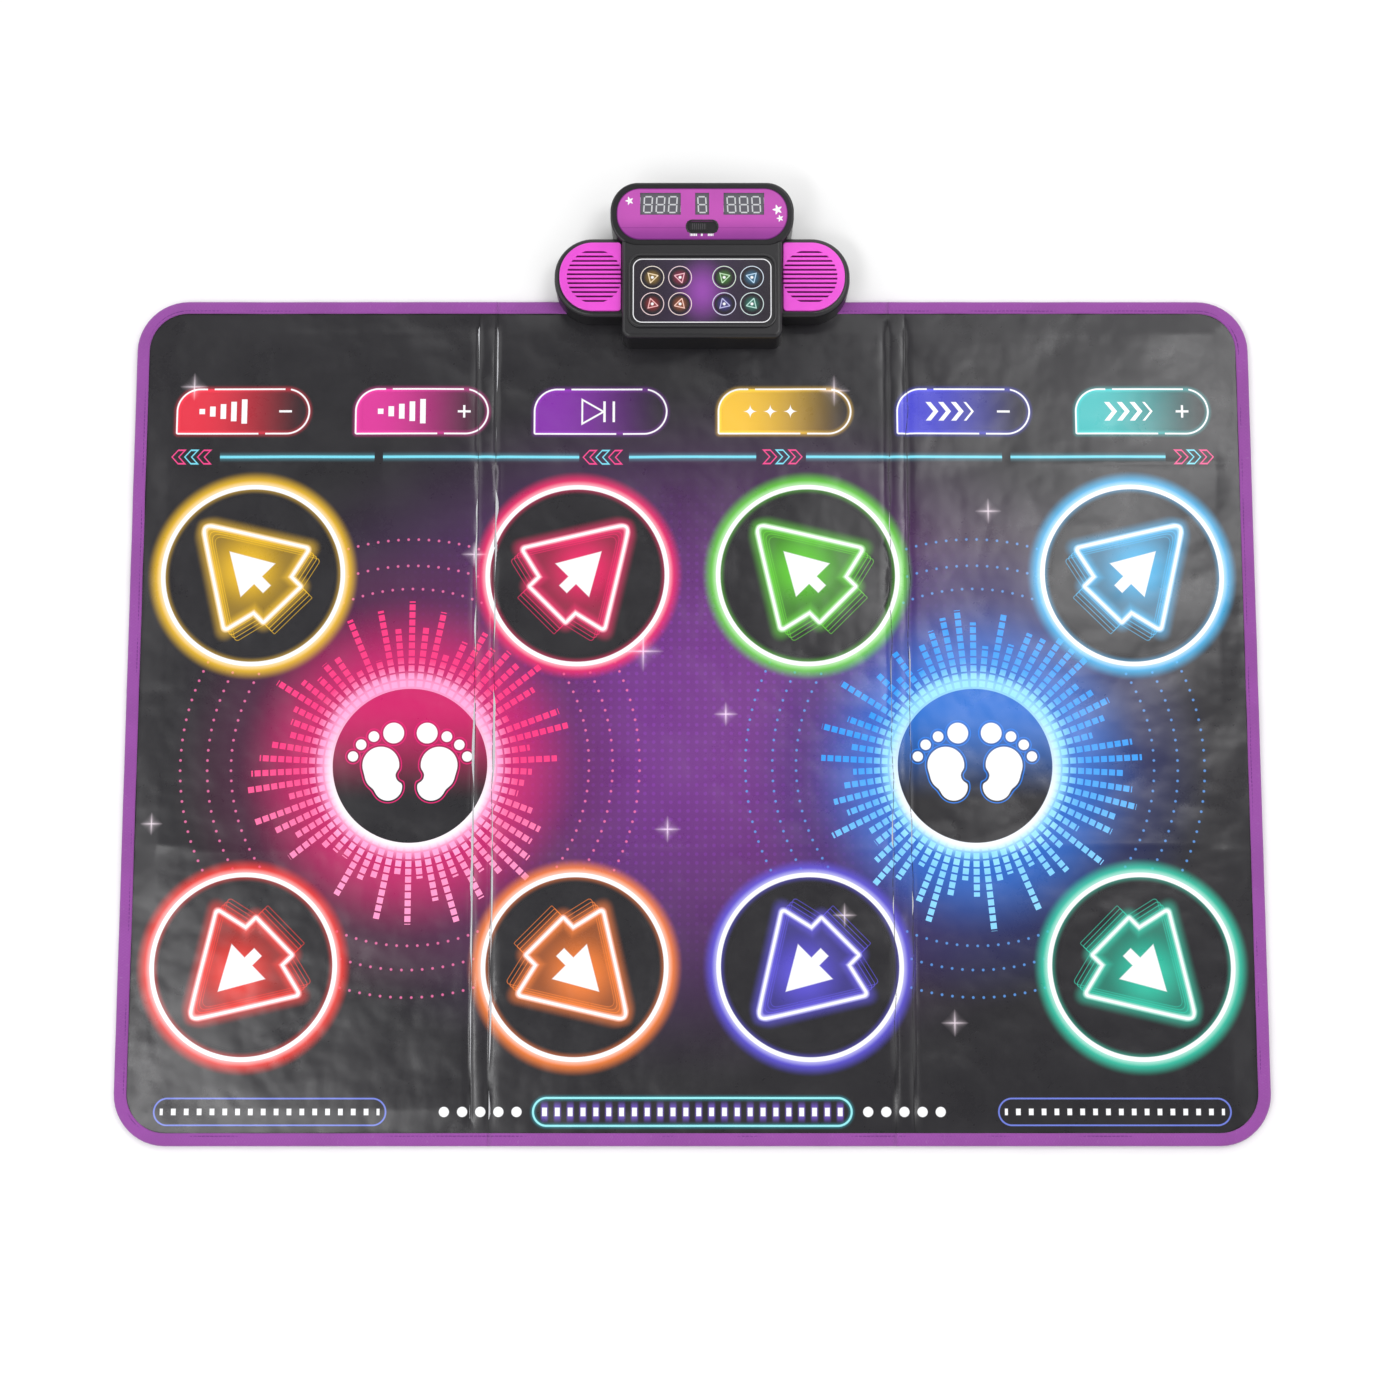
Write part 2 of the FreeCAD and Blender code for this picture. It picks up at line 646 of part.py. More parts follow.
def build_pod():
    """Shell of the display pod, with a slanting face that holds the display panel."""
    outside = slanted("PodOutside", "0", "0")
    top_face = max(outside.Shape.Faces, key=lambda face: face.CenterOfMass.z)
    names = [f"Edge{number}" for number, edge in enumerate(outside.Shape.Edges, 1)
             if any(edge.isSame(other) for other in top_face.Edges)]
    round_edges(outside, names, "case_edge / 2")
    inside = slanted("PodInside", "case_wall", "1.5 * case_wall")
    seat = tilted_body("PanelSeat", centred("0", "0", "(panel_width + 2 * part_clearance)",
                                            "(panel_depth + 2 * part_clearance)"),
                       "-panel_thickness", "2 * block_height", "panel_corner")
    opening = tilted_body("PanelOpening", centred("0", "0", "(panel_width - 4)", "(panel_depth - 4)"),
                          "-4 * case_wall", "2 * block_height", "panel_corner - 2")
    shell = cut("PodShell", outside, inside, seat, opening)
    passage = block("CellPassage", "console_x - door_length / 2", "pod_front - case_wall", "0",
                    "door_length", "3 * case_wall", "foot_height + case_wall + battery_diameter + 4")
    shell = cut("PodShellOpen", shell, passage)
    bosses = [disc("PodBoss", x, y, "parting_height", "boss_radius",
                   "pod_front_height - parting_height - case_wall") for x, y in case_boss_places()[2:]]
    pilots = [disc("PodPilot", x, y, "0", "screw_radius + pilot_clearance", "pod_front_height - case_edge")
              for x, y in case_boss_places()[2:]]
    keep("pod_shell", cut("Pod", fuse("PodSolid", shell, *bosses), fuse("PodPilots", *pilots)))


# ---------------------------------------------------------------- display and switch

def windows(grow):
    wide = f"(wide_window + {grow})"
    narrow = f"(narrow_window + {grow})"
    deep = f"(window_depth + {grow})"
    return [centred("-window_offset", "window_row", wide, deep), centred("0", "window_row", narrow, deep),
            centred("window_offset", "window_row", wide, deep)]


def build_display():
    panel = tilted_body("DisplayPanel", centred("0", "0", "panel_width", "panel_depth"), "-panel_thickness",
                        "panel_thickness", "panel_corner")
    pierce(panel, rectangles=windows("0") + [centred("0", "switch_row", "switch_width", "switch_depth")])
    keep("display_panel", panel)
    lens_outline = centred("0", "window_row", "(2 * window_offset + wide_window + 2 * lens_overlap)",
                           "(window_depth + 2 * lens_overlap)")
    lens = tilted_body("DisplayLens", lens_outline,
                       "-panel_thickness - lens_thickness", "lens_thickness", "1")
    keep("display_lens", lens)
    modules = [tilted_body("DigitModule", outline, "-panel_thickness - lens_thickness - digit_height",
                           "digit_height", "0.5") for outline in windows("-1")]
    keep("digit_modules", group("DigitModules", *modules))
    board = tilted_body("DisplayBoard", centred("0", "0", "(panel_width - 14)", "(panel_depth - 10)"),
                        "-panel_thickness - lens_thickness - digit_height - board_thickness",
                        "board_thickness", "6")
    keep("display_board", board)


def build_switch():
    """Slide switch below the windows: a fixed body, and a knob that slides along X."""
    body = tilted_body("SwitchBody", centred("0", "switch_row", "(switch_width - 1)", "(switch_depth - 1)"),
                       "-panel_thickness - lens_thickness - digit_height",
                       "digit_height - knob_thickness / 2", "1")
    keep("switch_body", body)
    middle = "(knob_travel / -2)"
    knob = tilted_body("SwitchKnob", centred(middle, "switch_row", "knob_length", "knob_depth"),
                       "-panel_thickness - lens_thickness - knob_thickness / 2 + part_clearance",
                       "knob_thickness + lens_thickness", "2")
    keep("switch_knob", knob)


# ---------------------------------------------------------------- sound, lamps and boards

def build_speaker(name, sign):
    cap = cap_slab("Cap", sign, "0", "wing_height", "cap_thickness")
    soften_top(cap, "cap_thickness / 3")
    bars = []
    for place in range(-5, 7):
        bars.append(block("Slot", f"{speaker_x(sign)} - slot_field_radius",
                          f"wing_y + ({place} - 0.5) * slot_pitch - slot_width / 2", "wing_height - 1",
                          "2 * slot_field_radius", "slot_width", "2 * cap_thickness + 1"))
    field = disc("SlotField", speaker_x(sign), "wing_y", "0", "slot_field_radius", "2 * wing_height")
    slots = doc.addObject("Part::Common", "Slots")
    slots.Base = fuse("SlotBars", *bars)
    slots.Tool = field
    keep(f"speaker_cap_{name}", cut("SpeakerCap", cap, slots))
    top = "wing_height - case_wall"
    frame = disc("SpeakerFrame", speaker_x(sign), "wing_y", f"{top} - speaker_height / 3",
                 "speaker_radius + case_wall", "speaker_height / 3")
    cone = doc.addObject("Part::Cone", "SpeakerCone")
    bind(cone, Radius1="magnet_radius / 2", Radius2="speaker_radius - case_wall",
         Height="speaker_height / 2", Placement__Base__x=speaker_x(sign), Placement__Base__y="wing_y",
         Placement__Base__z=f"{top} - speaker_height / 2")
    basket = doc.addObject("Part::Cone", "SpeakerBasket")
    bind(basket, Radius1="magnet_radius", Radius2="speaker_radius", Height="speaker_height / 3",
         Placement__Base__x=speaker_x(sign), Placement__Base__y="wing_y",
         Placement__Base__z=f"{top} - 2 * speaker_height / 3")
    magnet = disc("SpeakerMagnet", speaker_x(sign), "wing_y", f"{top} - speaker_height", "magnet_radius",
                  "speaker_height / 3")
    keep(f"speaker_{name}", cut("Speaker", fuse("SpeakerSolid", frame, basket, magnet), cone))


def build_lamps():
    label = slab("Label", centred("console_x", "label_y", "label_width", "label_depth"), "block_height",
                 "label_thickness", "label_corner")
    pierce(label, circles=[(x, y, "lamp_radius + part_clearance") for x, y in lamp_places()])
    keep("lamp_label", label)
    drop = "2 * case_wall - 1"
    lenses = [disc("LampLens", x, y, f"block_height - ({drop})", "lamp_radius",
                   f"label_thickness + {drop}") for x, y in lamp_places()]
    keep("lamp_lenses", group("LampLenses", *lenses))
    floor = "block_height - 3 * case_wall - board_thickness"
    board = slab("LampBoard", centred("console_x", "label_y", "(label_width - 4)", "(label_depth - 6)"),
                 floor, "board_thickness", "2")
    pierce(board, circles=[(x, y, "screw_radius + part_clearance") for x, y in lamp_board_screw_places()])
    lights = [disc("Light", x, y, "block_height - 3 * case_wall - 0.2", "light_radius",
                   "case_wall + 0.8") for x, y in lamp_places()]
    keep("lamp_board", fuse("LampBoardWithLights", board, *lights))


def build_boards():
    board = slab("MainBoard", centred("console_x", "board_y", "board_length", "board_depth"), "board_z",
                 "board_thickness", "2")
    pierce(board, circles=[(x, y, "screw_radius + part_clearance") for x, y in board_post_places()])
    chip = block("Chip", "console_x - chip_length / 2", "board_y - chip_depth / 2", "board_top - 0.1",
                 "chip_length", "chip_depth", "chip_height")
    keep("main_board", fuse("MainBoardWithChip", board, chip))
    screws = [screw("BoardScrew", x, y, "board_top", "6", head_above=True) for x, y in board_post_places()]
    under = "block_height - 3 * case_wall - board_thickness - screw_head_height"
    screws += [screw("LampScrew", x, y, under, "board_thickness + case_wall")
               for x, y in lamp_board_screw_places()]
    keep("board_screws", group("BoardScrews", *screws))


# ---------------------------------------------------------------- power, fixings and the mat's tail

def build_power():
    floor = "foot_height + case_wall + 0.5"
    cells = []
    contacts = []
    for place in range(4):
        along = f"battery_y + ({place} - 1.5) * battery_pitch"
        cell = doc.addObject("Part::Cylinder", "Cell")
        cell.Placement = FreeCAD.Placement(FreeCAD.Vector(), FreeCAD.Rotation(FreeCAD.Vector(0, 1, 0), 90))
        bind(cell, Radius="battery_diameter / 2", Height="battery_length",
             Placement__Base__x="console_x - battery_length / 2", Placement__Base__y=along,
             Placement__Base__z=f"{floor} + battery_diameter / 2")
        cells.append(cell)
    keep("batteries", group("Batteries", *cells))
    for sign in (-1, 1):
        near = "battery_length / 2 + 0.2"
        west = f"console_x + {near}" if sign > 0 else f"console_x - ({near}) - contact_thickness"
        contacts.append(block("Contact", west, "battery_y - 2 * battery_pitch", "foot_height + case_wall",
                              "contact_thickness", "4 * battery_pitch", "battery_diameter"))
    keep("battery_contacts", group("BatteryContacts", *contacts))
    door = slab("Door", centred("console_x", "battery_y", "door_length", "door_depth"), "foot_height",
                "case_wall", "2")
    across, along = door_screw_place()
    pierce(door, circles=[(across, along, "screw_radius + part_clearance")])
    keep("battery_door", door)
    door_screw = screw("DoorScrew", across, along, "foot_height - screw_head_height", "3 * case_wall")
    keep("door_screw", door_screw)


def build_fixings():
    length = "parting_height - foot_height"
    screws = [screw("CaseScrew", x, y, "foot_height", length) for x, y in case_boss_places()]
    keep("case_screws", group("CaseScrews", *screws))
    foot_places = (("(boss_x - 14)", "boss_y + 10"),
                   ("(rear_boss_x - 14)", "(pod_rear - rear_boss_inset - 4)"))
    feet = [disc("Foot", f"console_x + {sign} * {across}", along, "0", "foot_radius", "foot_height")
            for sign in (-1, 1) for across, along in foot_places]
    keep("rubber_feet", group("RubberFeet", *feet))
    plate = slab("ClampPlate", clamp_opening("0"), "0", "clamp_thickness", "3")
    keep("clamp_plate", plate)
    blocks = [disc("ClampBush", x, y, "clamp_thickness", "2 * screw_radius", "film_floor - clamp_thickness")
              for x, y, _ in clamp_screw_holes()]
    pins = [disc("ClampPin", x, y, "clamp_thickness", "screw_radius",
                 "floor_over_mat + case_wall + part_clearance - clamp_thickness")
            for x, y, _ in clamp_screw_holes()]
    heads = [disc("ClampHead", x, y, "floor_over_mat + case_wall + part_clearance", "screw_head_radius",
                  "screw_head_height") for x, y, _ in clamp_screw_holes()]
    keep("clamp_screws", group("ClampScrews", *[fuse("ClampScrew", *three)
                                                for three in zip(blocks, pins, heads)]))


def build_tail():
    """Ribbon that carries the mat's contacts up into the console, and its socket."""
    ribbon = block("Ribbon", "console_x - tail_width / 2", "tail_y - tail_thickness / 2", "spacer_floor",
                   "tail_width", "tail_thickness", "board_z - spacer_floor - 1")
    keep("mat_tail", ribbon)
    outer = block("Socket", "console_x - tail_width / 2 - socket_wall", "tail_y - socket_depth / 2",
                  "board_z - socket_height", "tail_width + 2 * socket_wall", "socket_depth", "socket_height")
    mouth = block("Mouth", "console_x - tail_width / 2 - part_clearance",
                  "tail_y - tail_thickness / 2 - part_clearance", "board_z - socket_height - 1",
                  "tail_width + 2 * part_clearance", "tail_thickness + 2 * part_clearance",
                  "socket_height + part_clearance")
    keep("tail_socket", cut("TailSocket", outer, mouth))


for panel_name in ("left", "centre", "right"):
    build_cloth(panel_name)
    build_foam(panel_name)
    build_circuit_film(panel_name)
    build_spacer(panel_name)
    build_cover(panel_name)
    build_tape(panel_name)
build_pads()
build_keys()
build_base()
build_top()
build_pod()
build_display()
build_switch()
build_speaker("left", -1)
build_speaker("right", 1)
build_lamps()
build_boards()
build_power()
build_fixings()
build_tail()
doc.recompute()

for thing in doc.Objects:
    if "Invalid" in thing.State or "Error" in thing.State:
        raise RuntimeError(f"{thing.Label} failed: {thing.State}")
for node, thing in kept.items():
    if thing.Shape.isNull() or not thing.Shape.isValid() or not thing.Shape.Solids:
        raise RuntimeError(f"{node} has no valid solid")

os.makedirs("parts", exist_ok=True)
for node, thing in kept.items():
    thing.Shape.exportStep(f"parts/{node}.step")
print(len(kept), "nodes")
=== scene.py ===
import json
import math

import bmesh
import bpy
import numpy as np
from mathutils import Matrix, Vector, noise
from mathutils.geometry import delaunay_2d_cdt


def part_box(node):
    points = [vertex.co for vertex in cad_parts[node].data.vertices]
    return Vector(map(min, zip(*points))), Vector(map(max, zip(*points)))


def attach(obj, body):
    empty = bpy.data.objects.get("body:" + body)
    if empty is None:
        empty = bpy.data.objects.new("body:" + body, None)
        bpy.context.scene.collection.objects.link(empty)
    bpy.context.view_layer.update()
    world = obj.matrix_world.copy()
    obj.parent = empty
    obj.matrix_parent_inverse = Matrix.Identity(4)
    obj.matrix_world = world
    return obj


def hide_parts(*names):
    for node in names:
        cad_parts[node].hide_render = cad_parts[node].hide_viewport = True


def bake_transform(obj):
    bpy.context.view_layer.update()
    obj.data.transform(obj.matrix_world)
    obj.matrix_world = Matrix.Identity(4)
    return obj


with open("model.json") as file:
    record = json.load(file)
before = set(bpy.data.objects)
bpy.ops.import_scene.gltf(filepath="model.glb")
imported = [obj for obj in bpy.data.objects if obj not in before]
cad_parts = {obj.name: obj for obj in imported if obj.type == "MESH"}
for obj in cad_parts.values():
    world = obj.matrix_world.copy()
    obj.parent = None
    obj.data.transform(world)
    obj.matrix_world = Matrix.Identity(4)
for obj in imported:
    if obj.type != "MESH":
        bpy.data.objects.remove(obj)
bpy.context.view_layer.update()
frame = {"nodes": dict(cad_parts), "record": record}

# ---------------------------------------------------------------- places read from the frame

MM = 0.001
RECORD = frame["record"]
JOINTS = {joint["name"]: joint for joint in RECORD["behaviour"]["joints"]}
FOLD = JOINTS["right_fold"]["pos_m"][0]
PANELS = ("left", "centre", "right")
PAD_COLOURS = ("yellow", "pink", "green", "cyan", "red", "orange", "violet", "teal")
KEY_NAMES = ("volume_down", "volume_up", "start", "level", "speed_down", "speed_up")

MAT_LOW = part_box("edge_tape_left")[0]
MAT_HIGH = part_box("edge_tape_right")[1]
MAT_CORNER = 48 * MM
TAPE_WIDTH = 12 * MM
TAPE_THICKNESS = 0.6 * MM
FILM_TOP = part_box("cover_centre")[1][2]
FILM_THICKNESS = FILM_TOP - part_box("cover_centre")[0][2]
CORE_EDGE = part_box("foam_centre")[1][0]
BEND_REACH = FOLD - CORE_EDGE
HAIRLINE = 0.06 * MM
FILM_STEP = 5 * MM
TAPE_STEP = 6 * MM
BACKING_STEP = 15 * MM
CONSOLE_LOW, CONSOLE_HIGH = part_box("console_base")
CONSOLE_X = (CONSOLE_LOW[0] + CONSOLE_HIGH[0]) / 2
CONSOLE_FRONT_HALF = 0.075
COVERED_HALF = 0.082    # film under the console lies flat to here


def middle(node):
    low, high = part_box(node)
    return Vector([(a + b) / 2 for a, b in zip(low, high)])


def srgb(red, green, blue):
    """Linear colour from the 0 to 255 values a maker's swatch gives."""
    def linear(value):
        value /= 255
        return value / 12.92 if value <= 0.04045 else ((value + 0.055) / 1.055) ** 2.4
    return (linear(red), linear(green), linear(blue), 1.0)


NEON = {"yellow": srgb(240, 190, 40), "pink": srgb(238, 40, 105), "green": srgb(100, 205, 50),
        "cyan": srgb(60, 180, 235), "red": srgb(240, 55, 45), "orange": srgb(245, 130, 55),
        "violet": srgb(95, 85, 215), "teal": srgb(50, 200, 170)}
WHITE = (0.9, 0.9, 0.92, 1.0)

# ---------------------------------------------------------------- arithmetic in shader nodes


class Field:
    """A number that changes over a surface; arithmetic on it adds math nodes to its tree."""

    def __init__(self, tree, socket):
        self.tree = tree
        self.socket = socket

    def math(self, operation, *others):
        node = self.tree.nodes.new("ShaderNodeMath")
        node.operation = operation
        for place, value in enumerate((self, *others)):
            if isinstance(value, Field):
                self.tree.links.new(value.socket, node.inputs[place])
            else:
                node.inputs[place].default_value = value
        return Field(self.tree, node.outputs[0])

    def __add__(self, other):
        return self.math("ADD", other)

    def __sub__(self, other):
        return self.math("SUBTRACT", other)

    def __mul__(self, other):
        return self.math("MULTIPLY", other)

    def __truediv__(self, other):
        return self.math("DIVIDE", other)

    def __rsub__(self, other):
        return self.math("MULTIPLY_ADD", -1.0, other)

    __radd__ = __add__
    __rmul__ = __mul__

    def __neg__(self):
        return self * -1.0

    def __abs__(self):
        return self.math("ABSOLUTE")

    def least(self, other):
        return self.math("MINIMUM", other)

    def most(self, other):
        return self.math("MAXIMUM", other)

    def blended_least(self, other, reach):
        return self.math("SMOOTH_MIN", other, reach)

    def blended_most(self, other, reach):
        return self.math("SMOOTH_MAX", other, reach)

    def sign(self):
        return self.math("SIGN")

    def floor(self):
        return self.math("FLOOR")

    def part(self):
        """What is left of the number above its whole part."""
        return self - self.floor()

    def above(self, other):
        return self.math("GREATER_THAN", other)

    def below(self, other):
        return self.math("LESS_THAN", other)

    def power(self, other):
        return self.math("POWER", other)

    def root(self):
        return self.math("SQRT")

    def angle(self, across):
        return self.math("ARCTAN2", across)

    def fade(self, start, end):
        """0 at start and 1 at end, with a smooth change between."""
        node = self.tree.nodes.new("ShaderNodeMapRange")
        node.interpolation_type = "SMOOTHSTEP"
        self.tree.links.new(self.socket, node.inputs["Value"])
        node.inputs["From Min"].default_value = start
        node.inputs["From Max"].default_value = end
        return Field(self.tree, node.outputs["Result"])

    def line(self, half_width, soft=0.35):
        """1 within half_width of zero."""
        return abs(self).fade(half_width + soft, half_width - soft)

    def inside(self, soft=0.35):
        """1 where a signed distance is negative."""
        return self.fade(soft, -soft)

    def random(self):
        node = self.tree.nodes.new("ShaderNodeTexWhiteNoise")
        node.noise_dimensions = "1D"
        self.tree.links.new(self.socket, node.inputs["W"])
        return Field(self.tree, node.outputs["Value"])

    def choose(self, colours):
        """One of several flat colours by the whole part of the number."""
        node = self.tree.nodes.new("ShaderNodeValToRGB")
        node.color_ramp.interpolation = "CONSTANT"
        stops = node.color_ramp.elements
        for place, colour in enumerate(colours):
            stop = stops[0] if place == 0 else stops.new(place / len(colours))
            stop.position = place / len(colours)
            stop.color = colour
        stops.remove(stops[-1] if stops[-1].position > (len(colours) - 0.5) / len(colours) else stops[0])
        scaled = (self + 0.5) / len(colours)
        self.tree.links.new(scaled.socket, node.inputs["Fac"])
        return node.outputs["Color"]


def length(across, along):
    return (across * across + along * along).root()


def box_distance(across, along, half_width, half_depth, corner):
    """Signed distance to a rectangle with rounded corners."""
    out_x = abs(across) - half_width + corner
    out_y = abs(along) - half_depth + corner
    return length(out_x.most(0), out_y.most(0)) + out_x.most(out_y).least(0) - corner


class Inks:
    """Colours laid over one another on a surface."""

    def __init__(self, tree, ground):
        self.tree = tree
        self.colour = ground

    def lay(self, kind, colour, amount):
        node = self.tree.nodes.new("ShaderNodeMix")
        node.data_type = "RGBA"
        node.blend_type = kind
        node.clamp_result = kind == "ADD"
        self.plug(node.inputs[6], self.colour)
        self.plug(node.inputs[7], colour)
        self.plug(node.inputs[0], amount)
        self.colour = node.outputs[2]

    def plug(self, socket, value):
        if isinstance(value, Field):
            value = value.socket
        if isinstance(value, bpy.types.NodeSocket):
            self.tree.links.new(value, socket)
        else:
            socket.default_value = value

    def ink(self, colour, mask):
        self.lay("MIX", colour, mask)

    def glow(self, colour, amount):
        self.lay("ADD", colour, amount)


# ---------------------------------------------------------------- shared effects

def new_group(name, inputs, outputs):
    group = bpy.data.node_groups.new(name, "ShaderNodeTree")
    for title, kind, start in inputs:
        socket = group.interface.new_socket(title, in_out="INPUT", socket_type=kind)
        if start is not None:
            socket.default_value = start
    for title, kind in outputs:
        group.interface.new_socket(title, in_out="OUTPUT", socket_type=kind)
    return group, group.nodes.new("NodeGroupInput"), group.nodes.new("NodeGroupOutput")


def noise_field(tree, place, scale, detail=2.0, roughness=0.5):
    node = tree.nodes.new("ShaderNodeTexNoise")
    node.inputs["Scale"].default_value = scale
    node.inputs["Detail"].default_value = detail
    node.inputs["Roughness"].default_value = roughness
    tree.links.new(place, node.inputs["Vector"])
    return Field(tree, node.outputs["Fac"])


def moulded_surface_group():
    """Moulded plastic: a fine spark-eroded grain, slow gloss changes and a little dust."""
    group, start, end = new_group("moulded_surface", [
        ("Place", "NodeSocketVector", None), ("Colour", "NodeSocketColor", (0.5, 0.5, 0.5, 1)),
        ("Gloss", "NodeSocketFloat", 0.35), ("Grain", "NodeSocketFloat", 0.3)],
        [("Colour", "NodeSocketColor"), ("Roughness", "NodeSocketFloat"), ("Height", "NodeSocketFloat")])
    place = start.outputs["Place"]
    slow = noise_field(group, place, 28)
    fine = noise_field(group, place, 2600, 1.0)
    smear = noise_field(group, place, 160, 4.0, 0.65)
    gloss = Field(group, start.outputs["Gloss"]) + (slow - 0.5) * 0.1 + (smear - 0.5) * 0.12
    inks = Inks(group, start.outputs["Colour"])
    inks.lay("MULTIPLY", (0.8, 0.8, 0.82, 1), slow.fade(0.35, 0.75) * 0.5)
    inks.lay("MIX", (0.32, 0.31, 0.3, 1), smear.fade(0.62, 0.9) * 0.06)
    group.links.new(inks.colour, end.inputs["Colour"])
    group.links.new(gloss.socket, end.inputs["Roughness"])
    group.links.new((fine * Field(group, start.outputs["Grain"])).socket, end.inputs["Height"])
    return group


def woven_surface_group():
    """Plain weave from a pattern's own coordinates: threads over and under, with stray fibres."""
    group, start, end = new_group("woven_surface", [
        ("Place", "NodeSocketVector", None), ("Colour", "NodeSocketColor", (0.5, 0.5, 0.5, 1)),
        ("Threads", "NodeSocketFloat", 1000.0)],
        [("Colour", "NodeSocketColor"), ("Roughness", "NodeSocketFloat"), ("Height", "NodeSocketFloat")])
    split = group.nodes.new("ShaderNodeSeparateXYZ")
    group.links.new(start.outputs["Place"], split.inputs[0])
    threads = Field(group, start.outputs["Threads"])
    warp = Field(group, split.outputs["X"]) * threads
    weft = Field(group, split.outputs["Y"]) * threads
    over = (warp.math("SINE") * weft.math("SINE")).fade(-0.6, 0.6)
    fibre = noise_field(group, start.outputs["Place"], 900, 3.0, 0.7)
    blotch = noise_field(group, start.outputs["Place"], 40)
    inks = Inks(group, start.outputs["Colour"])
    # Painted shade: the colour is darker where the threads lie low, in the weave's hollows.
    inks.lay("MULTIPLY", (0.62, 0.6, 0.64, 1), (1 - over) * 0.55)
    inks.lay("MULTIPLY", (0.8, 0.8, 0.8, 1), blotch.fade(0.4, 0.7) * 0.45)
    inks.lay("SCREEN", (0.2, 0.2, 0.2, 1), fibre.fade(0.55, 0.8) * 0.3)
    group.links.new(inks.colour, end.inputs["Colour"])
    group.links.new(((fibre - 0.5) * 0.2 + 0.75).socket, end.inputs["Roughness"])
    group.links.new((over * 0.7 + fibre * 0.5).socket, end.inputs["Height"])
    return group


MOULDED = moulded_surface_group()
WOVEN = woven_surface_group()


def new_material(name, roughness=0.5, **uniform):
    """Material with one Principled shader; uniform values are set on its own sockets."""
    material = bpy.data.materials.new(name)
    material.use_nodes = True
    shader = material.node_tree.nodes["Principled BSDF"]
    shader.inputs["Roughness"].default_value = roughness
    for title, value in uniform.items():
        shader.inputs[title.replace("_", " ")].default_value = value
    return material, material.node_tree, shader


def bump(tree, shader, height, distance, strength=0.6):
    node = tree.nodes.new("ShaderNodeBump")
    node.inputs["Strength"].default_value = strength
    node.inputs["Distance"].default_value = distance
    tree.links.new(height.socket if isinstance(height, Field) else height, node.inputs["Height"])
    tree.links.new(node.outputs["Normal"], shader.inputs["Normal"])


def object_place(tree):
    return tree.nodes.new("ShaderNodeTexCoord").outputs["Object"]


def moulded_plastic(name, colour, gloss=0.35, grain=0.3, grain_depth=0.00004, decorate=None, **uniform):
    """Moulded plastic; decorate may lay printed inks over its colour."""
    material, tree, shader = new_material(name, gloss, **uniform)
    place = object_place(tree)
    surface = tree.nodes.new("ShaderNodeGroup")
    surface.node_tree = MOULDED
    tree.links.new(place, surface.inputs["Place"])
    surface.inputs["Colour"].default_value = colour
    surface.inputs["Gloss"].default_value = gloss
    surface.inputs["Grain"].default_value = grain
    inks = Inks(tree, surface.outputs["Colour"])
    if decorate:
        decorate(tree, place, inks)
    tree.links.new(inks.colour, shader.inputs["Base Color"])
    tree.links.new(surface.outputs["Roughness"], shader.inputs["Roughness"])
    bump(tree, shader, surface.outputs["Height"], grain_depth)
    return material


def woven_cloth(name, colour, threads, depth, decorate=None, **uniform):
    material, tree, shader = new_material(name, 0.8, **uniform)
    place = tree.nodes.new("ShaderNodeUVMap")
    place.uv_map = "cloth_place"
    surface = tree.nodes.new("ShaderNodeGroup")
    surface.node_tree = WOVEN
    tree.links.new(place.outputs["UV"], surface.inputs["Place"])
    surface.inputs["Colour"].default_value = colour
    surface.inputs["Threads"].default_value = threads
    inks = Inks(tree, surface.outputs["Colour"])
    height = Field(tree, surface.outputs["Height"])
    if decorate:
        height = decorate(tree, place.outputs["UV"], inks, height)
    tree.links.new(inks.colour, shader.inputs["Base Color"])
    tree.links.new(surface.outputs["Roughness"], shader.inputs["Roughness"])
    bump(tree, shader, height, depth)
    return material


# ---------------------------------------------------------------- the mat's print

PRINT_SPAN = 2.0    # metres that the mat's own pattern map covers each way
RING = 84.0         # millimetres from here on
PAD_OUTER, PAD_INNER = 412.0, 108.0
PAD_REAR, PAD_FRONT = 81.0, -283.0
BURST_X, BURST_Y = 262.0, -98.0
KEY_Y = 238.0
KEY_X = 87           # innermost key, and the step to the next
KEY_PITCH = 169
LINE_Y = 194.0
STRIP_Y = -414.0
STRIP_SIDE_X = 384.5
DASH_PITCH = 11.7
DIAGONAL = 0.7071
INK_BLACK = (0.017, 0.016, 0.019, 1)


def rounded_meet(corner, *sides):
    """Signed distance to where several half planes meet, with a rounded corner."""
    outside, inside = None, None
    for side in sides:
        grown = side + corner
        square = grown.most(0) * grown.most(0)
        outside = square if outside is None else outside + square
        inside = grown if inside is None else inside.most(grown)
    return outside.root() + inside.least(0) - corner


def arrow_distance(ahead, aside):
    """Signed distance to the big arrow, in ring radii; ahead runs to its rounded tip."""
    slope = (aside * aside + 0.0009).root()
    flank = (ahead - 0.835) * 0.528 + slope * 0.849
    back = (ahead + 0.24) * -0.974 + (aside - 0.61) * 0.228
    head = rounded_meet(0.05, flank, back, ahead - 0.79)
    stem = rounded_meet(0.01, aside - 0.29, -ahead - 0.47, ahead - 0.2)
    return head.least(stem)


def small_arrow_distance(ahead, aside):
    head = ((ahead - 0.38) * 0.501 + aside * 0.866).most(-ahead - 0.08)
    stem = (aside - 0.06).most(-ahead - 0.224).most(ahead)
    return head.least(stem)


def print_background(inks, x, y):
    """Purple light over the middle of the mat, with a halftone grid in it."""
    reach = length(x / 1.5, y + 60)
    inks.glow(srgb(112, 34, 134), reach.fade(330, 30) * 0.85)
    dots = length((x / 8).part() - 0.5, (y / 8).part() - 0.5).fade(0.26, 0.16)
    inks.glow(srgb(120, 50, 170), dots * reach.fade(270, 80) * 0.2)


